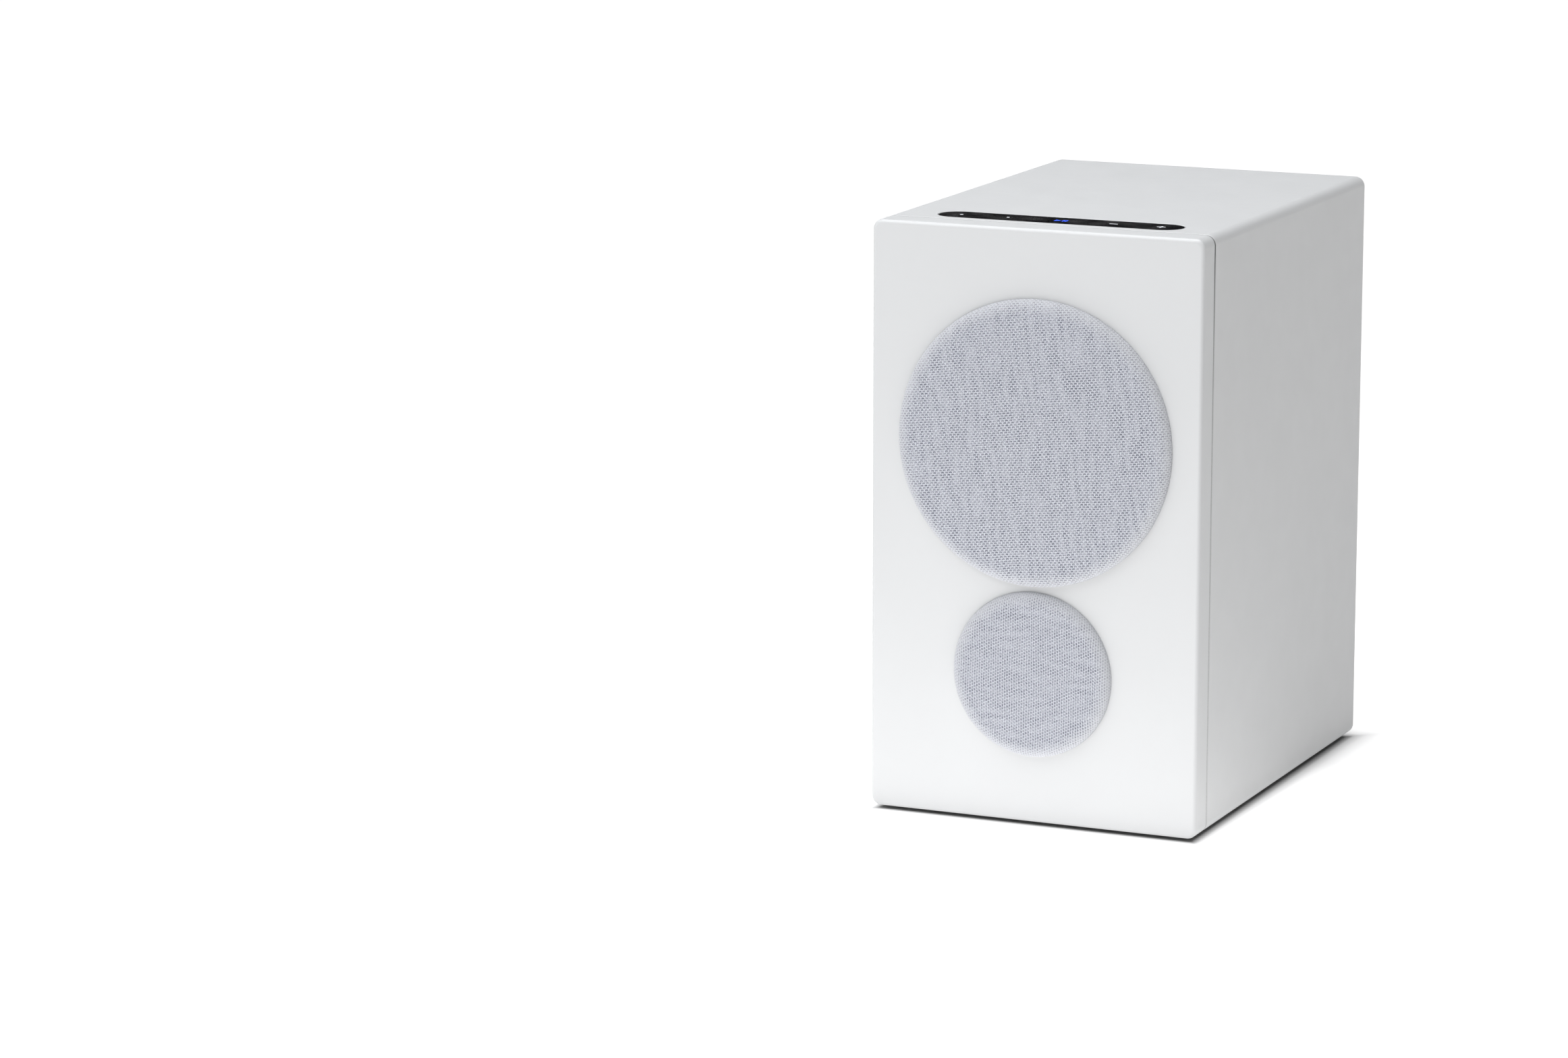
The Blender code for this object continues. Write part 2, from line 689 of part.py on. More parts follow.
def build_rear_panel():
    size = rounded_rectangle(INNER_WIDTH - 2 * GAP, INNER_HEIGHT - 2 * GAP, 3 * MM, 5)
    panel = piece(
        "rear_panel",
        [upright(size, PANEL_BACK - PANEL_THICKNESS), upright(size, PANEL_BACK)],
        "satin_lacquer",
        height=CABINET_HEIGHT / 2,
    )
    window = rounded_rectangle(PANEL_WINDOW_WIDTH, PANEL_WINDOW_HEIGHT, 4 * MM)
    near = PANEL_BACK - 2 * PANEL_THICKNESS
    far = PANEL_BACK + PANEL_THICKNESS
    window_loops = [upright(window, near), upright(window, far)]
    cut(panel, helper("amp_window_cutter", [window_loops], height=PLATE_CENTRE))
    port_hole = round_plug(PORT_COLLAR_RADIUS + GAP, near, far, count=MEDIUM)
    cut(panel, helper("port_hole_cutter", [port_hole], height=PORT_HEIGHT))
    plugs = [round_plug(1.9 * MM, PANEL_BACK - 9 * MM, far, *spot) for spot in plate_screw_places()]
    cut(panel, helper("panel_screw_cutter", plugs, height=PLATE_CENTRE))

    flare_depth = 14 * MM
    flare_spread = 6 * MM
    mouth = PANEL_BACK + 2 * MM
    flare = [
        (PORT_RADIUS + flare_spread * (1 - cos(t)), mouth - flare_depth * (1 - sin(t)))
        for t in (0, pi / 6, pi / 3, pi / 2)
    ]
    inner_end = PANEL_BACK - PORT_LENGTH
    collar_front = PANEL_BACK - PANEL_THICKNESS - 1 * MM
    outer = PORT_RADIUS + PORT_WALL
    profile = [(outer, inner_end), (outer, collar_front), (PORT_COLLAR_RADIUS, collar_front)]
    profile += [(PORT_COLLAR_RADIUS, PANEL_BACK + GAP), (32 * MM, PANEL_BACK + GAP)]
    profile += [(32 * MM, mouth - 0.8 * MM), (31 * MM, mouth)]
    profile += flare[::-1] + [(PORT_RADIUS, inner_end)]
    piece("port_tube", turned(profile, MEDIUM), "black_plastic", ring=True, height=PORT_HEIGHT)


def plate_screw_places():
    """Where the amplifier plate's screws stand, from the plate's centre."""
    across = PLATE_WIDTH / 2 - 5 * MM
    up = PLATE_HEIGHT / 2 - 5 * MM
    return [(u * across, v * up) for u in (-1, 1) for v in (-1, 1)]


# Rear controls: (across, height above the cabinet's underside)
INLET_AT = (-30 * MM, 46 * MM)
ROCKER_AT = (34 * MM, 46 * MM)
LEFT_SOCKET_AT = (24 * MM, 126 * MM)
RIGHT_SOCKET_AT = (42 * MM, 126 * MM)
BUTTON_AT = (-38 * MM, 142 * MM)
SWITCH_AT = (-8 * MM, 142 * MM)
SWITCH_TRAVEL = 4 * MM


def build_amp_plate():
    size = rounded_rectangle(PLATE_WIDTH, PLATE_HEIGHT, 4 * MM)
    inside = PANEL_BACK + GAP
    plate = piece(
        "amp_plate",
        [
            upright(size, inside),
            upright(size, PLATE_BACK - 0.5 * MM),
            upright(rounded_rectangle(PLATE_WIDTH - 1 * MM, PLATE_HEIGHT - 1 * MM, 3.5 * MM), PLATE_BACK),
        ],
        "black_aluminium",
        height=PLATE_CENTRE,
    )
    posts = [round_plug(3 * MM, 226.9 * MM, inside + 1 * MM, u * 46 * MM, v * 54 * MM) for u, v in
             [(-1, -1), (1, -1), (-1, 1), (1, 1)]]
    unite(plate, helper("board_posts", posts, height=PLATE_CENTRE))

    near = inside - 5 * MM
    far = PLATE_BACK + 5 * MM

    def window(width, height, centre):
        outline = moved(rounded_rectangle(width, height, 0.8 * MM), centre[0], centre[1] - PLATE_CENTRE)
        return [upright(outline, near), upright(outline, far)]

    def hole(radius, centre):
        return round_plug(radius, near, far, centre[0], centre[1] - PLATE_CENTRE, COARSE)

    rectangles = [
        window(25.6 * MM, 17.6 * MM, INLET_AT),
        window(15 * MM, 21 * MM, ROCKER_AT),
        window(3 * MM + SWITCH_TRAVEL + 2 * GAP, 3.6 * MM, SWITCH_AT),
    ]
    cut(plate, helper("plate_window_cutter", rectangles, height=PLATE_CENTRE))
    rounds = [hole(4.4 * MM, LEFT_SOCKET_AT), hole(4.4 * MM, RIGHT_SOCKET_AT), hole(4.3 * MM, BUTTON_AT)]
    rounds += [round_plug(1.9 * MM, near, far, *spot) for spot in plate_screw_places()]
    cut(plate, helper("plate_hole_cutter", rounds, height=PLATE_CENTRE))

    screw = screw_mesh("amp_plate_screw", 3 * MM, 1.7 * MM, 1.5 * MM, 10 * MM)
    for number, (across, up) in enumerate(plate_screw_places()):
        placed = place(
            f"amp_plate_screw_{number + 1}", screw, "black_steel",
            across=across, height=PLATE_CENTRE + up, depth=PLATE_BACK + GAP,
        )
        placed.rotation_euler = (0, 0, pi)


def build_heatsink():
    fins = 18
    width = 100 * MM
    fin = 2 * MM
    pitch = (width - fin) / (fins - 1)
    base_front = PLATE_BACK + GAP
    base_back = base_front + 2 * MM
    tip = base_back + 5.5 * MM
    outline = [(-width / 2, base_front), (width / 2, base_front)]
    for number in range(fins):
        right = width / 2 - pitch * number
        outline += [(right, tip), (right - fin, tip)]
        if number < fins - 1:
            outline += [(right - fin, base_back), (right - pitch, base_back)]
    piece("heatsink", [level(outline, 66 * MM), level(outline, 110 * MM)], "black_aluminium")


def build_amp_inside():
    board_front = 225 * MM
    board = rounded_rectangle(104 * MM, 120 * MM, 2 * MM, 2)
    piece(
        "amp_board", [upright(board, board_front), upright(board, board_front + 1.6 * MM)],
        "circuit_board", height=PLATE_CENTRE,
    )
    can_back = board_front - GAP
    can = rounded_rectangle(62 * MM, 54 * MM, 4 * MM, 3)
    lid = rounded_rectangle(58 * MM, 50 * MM, 3 * MM, 3)
    piece(
        "power_supply",
        [upright(lid, can_back - 36 * MM), upright(can, can_back - 34 * MM), upright(can, can_back)],
        "black_steel",
        across=-14 * MM,
        height=78 * MM,
    )


def oblong(width, height, radius, behind_plate):
    """A rounded rectangle this far behind the plate's back face, all in millimetres."""
    outline = rounded_rectangle(width * MM, height * MM, radius * MM, 3)
    return upright(outline, PLATE_BACK + behind_plate * MM)


def build_rear_sockets():
    across, height = INLET_AT
    inlet = piece(
        "power_inlet",
        [
            oblong(25, 17, 1, -18),
            oblong(25, 17, 1, 0.3),
            oblong(31, 23, 3, 0.3),
            oblong(31, 23, 3, 1.9),
            oblong(30, 22, 2.6, 2.4),
            oblong(19, 10, 4.6, 2.4),
            oblong(19, 10, 4.6, -13),
        ],
        "black_plastic",
        across=across,
        height=height,
    )
    root = PLATE_BACK - 14 * MM
    tip = PLATE_BACK - 2 * MM
    pins = [round_plug(1.2 * MM, root, tip, side * 4.3 * MM) for side in (-1, 1)]
    unite(inlet, helper("inlet_pins", pins, across=across, height=height))

    for name, finish, (across, height) in (
        ("audio_socket_left", "socket_white", LEFT_SOCKET_AT),
        ("audio_socket_right", "socket_red", RIGHT_SOCKET_AT),
    ):
        profile = [(4.1, -10), (4.1, 0.3), (6, 0.3), (6, 1.8), (4.1, 2.4)]
        profile += [(4.1, 8.7), (1.7, 8.7), (1.7, 0.5)]
        points = [(radius * MM, PLATE_BACK + depth * MM) for radius, depth in profile]
        piece(name, turned(points, COARSE), finish, across=across, height=height)


def build_rear_controls():
    across, height = ROCKER_AT
    housing = piece(
        "rocker_housing",
        [
            oblong(14.4, 20.4, 0.8, -12),
            oblong(14.4, 20.4, 0.8, 0.3),
            oblong(18, 25, 2, 0.3),
            oblong(18, 25, 2, 1.5),
            oblong(17, 24, 1.6, 2),
            oblong(11.6, 18.8, 0.5, 2),
            oblong(11.6, 18.8, 0.5, -7),
        ],
        "black_plastic",
        across=across,
        height=height,
    )

    def pivot(radius, half_length):
        """A round bar across the rocker, on the line it tilts about."""
        outline = circle(radius, COARSE)
        return [[Vector((x, depth, up)) for depth, up in outline] for x in (-half_length, half_length)]

    bore = helper(
        "pivot_bore", [pivot(1.3 * MM, 6.8 * MM)], across=across, depth=PLATE_BACK, height=height
    )
    cut(housing, bore)
    side = [(0.8, 0), (2.4, 8.6), (-1.2, 8.6), (-5, 0), (-1.2, -8.6), (2.4, -8.6)]
    half = 5.5 * MM
    rocker = piece(
        "power_rocker",
        [[Vector((x, depth * MM, up * MM)) for depth, up in side] for x in (-half, half)],
        "black_plastic",
        across=across,
        depth=PLATE_BACK,
        height=height,
    )
    rocker.rotation_euler = (-ROCKER_TILT, 0, 0)
    pin = helper(
        "pivot_pin", [pivot(1 * MM, 6.5 * MM)], across=across, depth=PLATE_BACK, height=height
    )
    unite(rocker, pin)

    across, height = BUTTON_AT
    inner_face = PANEL_BACK
    profile = [
        (3, inner_face - 8 * MM),
        (3, inner_face - 2 * MM),
        (6, inner_face - 2 * MM),
        (6, inner_face),
        (4, inner_face),
        (4, PLATE_BACK + 1.2 * MM),
        (3.4, PLATE_BACK + 1.8 * MM),
    ]
    points = [(radius * MM, depth) for radius, depth in profile]
    piece("pairing_button", turned(points, COARSE), "black_plastic", across=across, height=height)

    across, height = SWITCH_AT
    base = rounded_rectangle(17 * MM, 7 * MM, 0.8 * MM, 2)
    nub = rounded_rectangle(3 * MM, 3 * MM, 0.4 * MM, 2)
    piece(
        "channel_switch",
        [
            upright(base, inner_face - 1.5 * MM),
            upright(base, inner_face),
            upright(nub, inner_face),
            upright(nub, PLATE_BACK + 1.5 * MM),
        ],
        "socket_white",
        across=across - SWITCH_TRAVEL / 2,
        height=height,
    )


# Wiring


def smooth_route(points, samples=16):
    """Evenly stepped points on a smooth curve through the given ones (Catmull-Rom)."""
    knots = [Vector(point) * MM for point in points]
    knots = [2 * knots[0] - knots[1]] + knots + [2 * knots[-1] - knots[-2]]
    spans = len(points) - 1
    route = []
    for number in range(samples + 1):
        place_on = min(number * spans / samples, spans - 1e-6)
        span = int(place_on)
        t = place_on - span
        before, start, end, after = knots[span : span + 4]
        route.append(
            0.5 * (2 * start + (end - before) * t + (2 * before - 5 * start + 4 * end - after) * t * t)
            + 0.5 * (3 * start - before - 3 * end + after) * t * t * t
        )
    return route


def build_lead(name, points, radius, finish):
    """A round lead clipped inside the cabinet, as a bevelled curve."""
    data = bpy.data.curves.new(name, "CURVE")
    data.dimensions = "3D"
    data.bevel_depth = radius
    data.bevel_resolution = 2
    data.use_fill_caps = True
    route = smooth_route(points)
    spline = data.splines.new("POLY")
    spline.points.add(len(route) - 1)
    for point, position in zip(spline.points, route):
        point.co = (*position, 1)
    data.materials.append(material(finish))
    obj = bpy.data.objects.new(name, data)
    obj.location = (0, FRONT_Y, FOOT_HEIGHT)
    bpy.context.scene.collection.objects.link(obj)


def build_wiring():
    """Routes are (across, depth, height) in millimetres."""
    build_lead(
        "woofer_lead",
        [(30, 224.5, 140), (30, 200, 142), (36, 160, 160), (44, 110, 180), (50, 60, 192), (48.5, 42, 193)]
        + [(45.5, 36.9, 193)],
        1.4 * MM,
        "black_plastic",
    )
    build_lead(
        "tweeter_lead",
        [(30, 224.5, 120), (30, 200, 118), (34, 150, 100), (30, 100, 84), (14, 60, 78), (8, 43.9, 76)],
        1.1 * MM,
        "black_plastic",
    )
    path = [(-30, 33, 285), (-30, 40, 281), (-34, 70, 276), (-40, 112, 266), (-42, 160, 220)]
    path += [(-40, 205, 166), (-40, 224.5, 150)]
    route = smooth_route(path)
    half_width = Vector((5 * MM, 0, 0))
    loops = []
    for number, position in enumerate(route):
        ahead = route[min(number + 1, len(route) - 1)] - route[max(number - 1, 0)]
        normal = ahead.cross(half_width).normalized() * 0.3 * MM
        signs = [(1, 1), (-1, 1), (-1, -1), (1, -1)]
        loops.append([position + u * half_width + v * normal for u, v in signs])
    piece("touch_ribbon", loops, "socket_white")


def main():
    clear_scene()
    build_cabinet()
    build_wadding()
    build_baffle()
    build_grilles()
    build_woofer()
    build_tweeter()
    build_touch_strip()
    build_rear_panel()
    build_amp_plate()
    build_heatsink()
    build_amp_inside()
    build_rear_sockets()
    build_rear_controls()
    build_wiring()


main()
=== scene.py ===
"""Looks for the powered bookshelf speaker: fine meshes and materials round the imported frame.

Lengths are in millimetres until they reach Blender. A piece stands at (across, behind, above): from the
middle, behind the front board's face, and above the cabinet's underside.
"""

import json
from math import acos, cos, hypot, pi, radians, sin, tan

import bmesh
import bpy
from mathutils import Matrix, Vector, noise


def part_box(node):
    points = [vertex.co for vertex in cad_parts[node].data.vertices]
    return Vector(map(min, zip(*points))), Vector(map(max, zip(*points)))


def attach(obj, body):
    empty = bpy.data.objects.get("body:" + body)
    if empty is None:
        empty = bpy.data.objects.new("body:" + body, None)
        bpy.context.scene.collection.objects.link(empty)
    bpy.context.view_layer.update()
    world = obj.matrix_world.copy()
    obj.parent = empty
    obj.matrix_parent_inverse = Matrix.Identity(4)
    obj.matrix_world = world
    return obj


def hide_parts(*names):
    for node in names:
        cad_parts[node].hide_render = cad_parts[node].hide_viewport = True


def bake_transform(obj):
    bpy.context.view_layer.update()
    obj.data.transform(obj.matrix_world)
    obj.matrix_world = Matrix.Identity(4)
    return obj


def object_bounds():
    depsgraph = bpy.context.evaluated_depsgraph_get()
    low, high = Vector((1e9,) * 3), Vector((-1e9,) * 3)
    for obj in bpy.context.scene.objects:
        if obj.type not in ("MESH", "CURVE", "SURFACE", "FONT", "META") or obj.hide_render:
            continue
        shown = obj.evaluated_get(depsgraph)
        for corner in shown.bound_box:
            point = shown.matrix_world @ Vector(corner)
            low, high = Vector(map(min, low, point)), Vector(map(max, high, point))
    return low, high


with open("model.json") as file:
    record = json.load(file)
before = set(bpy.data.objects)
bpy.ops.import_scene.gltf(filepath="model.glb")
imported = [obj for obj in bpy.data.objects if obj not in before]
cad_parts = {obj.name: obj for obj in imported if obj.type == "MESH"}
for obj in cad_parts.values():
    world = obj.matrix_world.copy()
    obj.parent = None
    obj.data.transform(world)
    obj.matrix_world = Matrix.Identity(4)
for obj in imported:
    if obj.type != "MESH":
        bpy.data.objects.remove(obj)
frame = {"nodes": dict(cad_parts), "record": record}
CAD_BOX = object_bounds()

MM = 0.001

# Places read from the frame, in metres
SHELL_LOW, SHELL_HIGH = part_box("cabinet_shell")
BAFFLE_LOW, BAFFLE_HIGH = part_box("front_baffle")
STRIP_LOW, STRIP_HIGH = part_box("touch_strip")
PLATE_LOW, PLATE_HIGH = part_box("amp_plate")
PANEL_LOW, PANEL_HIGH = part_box("rear_panel")
FRONT_Y = BAFFLE_LOW.y
BASE_Z = SHELL_LOW.z


def size_of(low, high):
    return [length / MM for length in high - low]


def behind(y):
    """How far y, in metres, is behind the front board's face."""
    return (y - FRONT_Y) / MM


def above(z):
    """How far z, in metres, is above the cabinet's underside."""
    return (z - BASE_Z) / MM


def centre_of(node):
    low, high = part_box(node)
    return (low + high) / 2


# The same places in millimetres
WIDTH, _, HEIGHT = size_of(SHELL_LOW, SHELL_HIGH)
MIDDLE = HEIGHT / 2
SHELL_FRONT, SHELL_BACK = behind(SHELL_LOW.y), behind(SHELL_HIGH.y)
BAFFLE_BACK = behind(BAFFLE_HIGH.y)
STRIP_LENGTH, STRIP_WIDTH, _ = size_of(STRIP_LOW, STRIP_HIGH)
STRIP_DEPTH = behind(centre_of("touch_strip").y)
PANEL_WIDTH, _, PANEL_HEIGHT = size_of(PANEL_LOW, PANEL_HIGH)
PANEL_FRONT, PANEL_BACK = behind(PANEL_LOW.y), behind(PANEL_HIGH.y)
PLATE_WIDTH, _, PLATE_HEIGHT = size_of(PLATE_LOW, PLATE_HIGH)
PLATE_BACK = behind(PLATE_HIGH.y)
PLATE_CENTRE = above(centre_of("amp_plate").z)
PORT_HEIGHT = above(centre_of("port_tube").z)
WOOFER_HEIGHT = above(centre_of("woofer_magnet").z)
TWEETER_HEIGHT = above(centre_of("tweeter_magnet").z)
GRILLE_PROUD = -behind(CAD_BOX[0].y)

# Sizes that more than one piece shares
CORNER = 5
INNER_CORNER = 3
WOOFER_GRILLE_RADIUS = 72.2
TWEETER_GRILLE_RADIUS = 41.85
GRILLE_RIM = 6
GRILLE_BACK = 1.9
INLET_AT = (-30, 46)
ROCKER_AT = (34, 46)
LEFT_SOCKET_AT = (24, 126)
RIGHT_SOCKET_AT = (42, 126)
BUTTON_AT = (-38, 142)
SWITCH_AT = (-8, 142)
SWITCH_TRAVEL = 4
PLATE_SCREWS = [(u * (PLATE_WIDTH / 2 - 5), v * (PLATE_HEIGHT / 2 - 5)) for u in (-1, 1) for v in (-1, 1)]
SCREW_HOLE = 1.9

# Camera and light. Distances are in metres, but for the reach of the shadow.
CAMERA_AZIMUTH = radians(24.2)
CAMERA_ELEVATION = radians(11.5)
CAMERA_DISTANCE = 2.783
AIM_BEHIND_FRONT = 0.1225
SPEAKER_RIGHT_OF_CENTRE = 0.174
SPEAKER_ABOVE_CENTRE = 0.0223
LENS_MM = 123.8
LIGHTS_AIM_AT = Vector((0, 0, 0.15))
POOL_CENTRE = (-0.03, -0.28, 0)
FLOOR_POOL = 1.85
FLOOR_MID = 0.85
FLOOR_FAR = 1.0
CONTACT_REACH = 18  # how far the soft shadow runs out from the foot of the cabinet
UNDER_REACH = 4  # and how far in under it before the floor is dark
TOP_POWER = 16
OVERHEAD_POWER = 34

# Facets
ROUND = 160
MEDIUM = 64
SMALL = 32
CORNER_STEPS = 10
AXIS_RADIUS = 0.02  # the smallest loop where a profile meets its axis
SHARP_ANGLE = 40


# Outlines and profiles


def circle(radius, count=ROUND):
    return [(radius * cos(2 * pi * i / count), radius * sin(2 * pi * i / count)) for i in range(count)]


def rounded_rectangle(width, height, radius, steps=CORNER_STEPS):
    points = []
    for corner, (sign_u, sign_v) in enumerate([(1, 1), (-1, 1), (-1, -1), (1, -1)]):
        centre_u = sign_u * (width / 2 - radius)
        centre_v = sign_v * (height / 2 - radius)
        for step in range(steps + 1):
            angle = pi / 2 * (corner + step / steps)
            points.append((centre_u + radius * cos(angle), centre_v + radius * sin(angle)))
    return points


def stadium(length, width, steps=24):
    return rounded_rectangle(length, width, width / 2 - 0.05, steps)


def cross(arm, half_width):
    points = [(half_width, arm), (-half_width, arm), (-half_width, half_width), (-arm, half_width)]
    points += [(-arm, -half_width), (-half_width, -half_width)]
    return points + [(-u, -v) for u, v in points]


def upright(outline, depth, across=0.0, up=0.0):
    return [Vector((u + across, depth, v + up)) for u, v in outline]


def level(outline, height, across=0.0, depth=0.0):
    return [Vector((u + across, v + depth, height)) for u, v in outline]


def through(outline, near, far, across=0.0, up=0.0):
    """A straight plug with this outline, between two depths."""
    return [upright(outline, depth, across, up) for depth in (near, far)]


def quarter(steps):
    """Cosines and sines from 0 to 90 degrees, for rounding an edge."""
    angles = [pi / 2 * step / steps for step in range(steps + 1)]
    return [(cos(angle), sin(angle)) for angle in angles]


def softened(profile, radius, closed=True, steps=3):
    """The profile with each corner rounded, by at most this radius and this share of the sides it joins."""
    straight = radians(165)
    most = 0.42
    points = [Vector(p) for p in profile]
    count = len(points)
    out = []
    for i, corner in enumerate(points):
        if not closed and i in (0, count - 1):
            out.append(corner)
            continue
        before, after = points[i - 1], points[(i + 1) % count]
        into, away = before - corner, after - corner
        bend = into.angle(away) if into.length and away.length else pi
        if bend > straight:
            out.append(corner)
            continue
        reach = min(radius / tan(bend / 2), most * into.length, most * away.length)
        size = reach * tan(bend / 2)
        middle = corner + (into.normalized() + away.normalized()).normalized() * (size / sin(bend / 2))
        start = corner + into.normalized() * reach - middle
        end = corner + away.normalized() * reach - middle
        sweep = start.angle(end)
        for step in range(steps + 1):
            share = step / steps
            if sweep < 1e-4:
                point = start.lerp(end, share)
            else:
                point = (start * sin((1 - share) * sweep) + end * sin(share * sweep)) / sin(sweep)
            out.append(middle + point)
    return [(p.x, p.y) for p in out]


def arc(centre_r, centre_y, radius, start, end, steps):
    """Profile points (radius, depth) along an arc. 0 degrees points outward, 90 points forward."""
    angles = [radians(start + (end - start) * step / steps) for step in range(steps + 1)]
    return [(centre_r + radius * cos(angle), centre_y - radius * sin(angle)) for angle in angles]


def turned(profile, count=ROUND):
    return [upright(circle(max(radius, AXIS_RADIUS), count), depth) for radius, depth in profile]


def spots(radius, count, start=0.0):
    angles = [start + 2 * pi * i / count for i in range(count)]
    return [(radius * cos(angle), radius * sin(angle)) for angle in angles]


WOOFER_PEGS = spots(67.3, 4, pi / 4)
TWEETER_PEGS = spots(38, 3, pi / 2)


# Meshes


def new_object(name, data):
    obj = bpy.data.objects.new(name, data)
    bpy.context.scene.collection.objects.link(obj)
    return obj


def finished(mesh, sharp=SHARP_ANGLE):
    """Smooth shading, but for the sharp edges."""
    mesh.shade_smooth()
    mesh.set_sharp_from_angle(angle=radians(sharp))
    return mesh


def mesh_from(bm, name):
    mesh = bpy.data.meshes.new(name)
    bm.to_mesh(mesh)
    bm.free()
    return mesh


def new_row(bm, loop):
    return [bm.verts.new([c * MM for c in point]) for point in loop]


def skin(bm, loops, ring):
    rows = [new_row(bm, loop) for loop in loops]
    pairs = list(zip(rows, rows[1:]))
    if ring:
        pairs.append((rows[-1], rows[0]))
    else:
        bm.faces.new(rows[0])
        bm.faces.new(rows[-1])
    for near, far in pairs:
        for i in range(len(near)):
            j = (i + 1) % len(near)
            bm.faces.new((near[i], near[j], far[j], far[i]))


def mesh_of(name, lofts=(), rings=(), sharp=SHARP_ANGLE):
    """One mesh. Lofts are capped at both ends, and rings run round to where they started."""
    bm = bmesh.new()
    for loops in lofts:
        skin(bm, loops, False)
    for loops in rings:
        skin(bm, loops, True)
    bmesh.ops.recalc_face_normals(bm, faces=bm.faces)
    return finished(mesh_from(bm, name), sharp)


def place(name, mesh, slot, nodes=(), at=(0, 0, 0), body="cabinet", turn=0.0, finish=None):
    """Shows a mesh on a body, in place of these CAD nodes. It has its slot's finish unless told another."""
    obj = new_object(name, mesh)
    if not mesh.materials:
        mesh.materials.append(FINISHES[finish or slot])
    obj.location = (at[0] * MM, FRONT_Y + at[1] * MM, BASE_Z + at[2] * MM)
    obj.rotation_euler = (0, 0, turn)
    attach(obj, body)
    if nodes:
        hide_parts(*nodes)
    return obj


def piece(name, slot, nodes, at, lofts=(), rings=(), body="cabinet", finish=None):
    return place(name, mesh_of(name, lofts, rings), slot, nodes, at, body, finish=finish)


def even_shading(obj):
    weighted = obj.modifiers.new("even_shading", "WEIGHTED_NORMAL")
    weighted.keep_sharp = True
    return obj


def soften_edges(obj, width, angle=50):
    bevel = obj.modifiers.new("soften", "BEVEL")
    bevel.width = width * MM
    bevel.segments = 2
    bevel.limit_method = "ANGLE"
    bevel.angle_limit = radians(angle)


def bake_modifiers(obj):
    graph = bpy.context.evaluated_depsgraph_get()
    graph.update()
    made = bpy.data.meshes.new_from_object(obj.evaluated_get(graph))
    obj.modifiers.clear()
    old = obj.data
    obj.data = made
    made.name = obj.name
    bpy.data.meshes.remove(old)


def cut(obj, lofts, soften=0.0):
    """Cuts these lofts out of obj for good, then softens its sharp edges."""
    cutter = new_object("cutter", mesh_of("cutter", lofts))
    cutter.location = obj.location
    boolean = obj.modifiers.new("cut", "BOOLEAN")
    boolean.object = cutter
    boolean.solver = "EXACT"
    boolean.use_self = True
    bake_modifiers(obj)
    bpy.data.objects.remove(cutter)
    finished(obj.data)
    if soften:
        soften_edges(obj, soften)
    return even_shading(obj)


def turned_piece(name, slot, node, height, profile, ring=True, soft=0.3, body="cabinet", across=0.0,
                 base=0.0, count=ROUND):
    """A turned piece. Its profile holds (radius, depth), like a drawing. A ring is open in the middle."""
    points = softened([(radius, depth + base) for radius, depth in profile], soft, ring)
    skins = {"rings" if ring else "lofts": [turned(points, count)]}
    return even_shading(piece(name, slot, [node], (across, 0, height), body=body, **skins))


# Materials


FINISHES = {}


def feed(tree, socket, value):
    """Gives a socket a value, or links it to another node's output."""
    if hasattr(value, "is_output"):
        tree.links.new(value, socket)
    else:
        socket.default_value = value


def add_node(tree, kind, inputs, **settings):
    node = tree.nodes.new(f"ShaderNode{kind}")
    for name, value in settings.items():
        setattr(node, name, value)
    for socket, value in inputs.items():
        feed(tree, node.inputs[socket], value)
    return node


def add_ramp(tree, factor, stops):
    """Grey levels along a colour ramp, as (position, level)."""
    node = add_node(tree, "ValToRGB", {"Fac": factor})
    elements = node.color_ramp.elements
    while len(elements) < len(stops):
        elements.new(1)
    for element, (position, grey) in zip(elements, stops):
        element.position = position
        element.color = (grey, grey, grey, 1)
    return node.outputs["Color"]


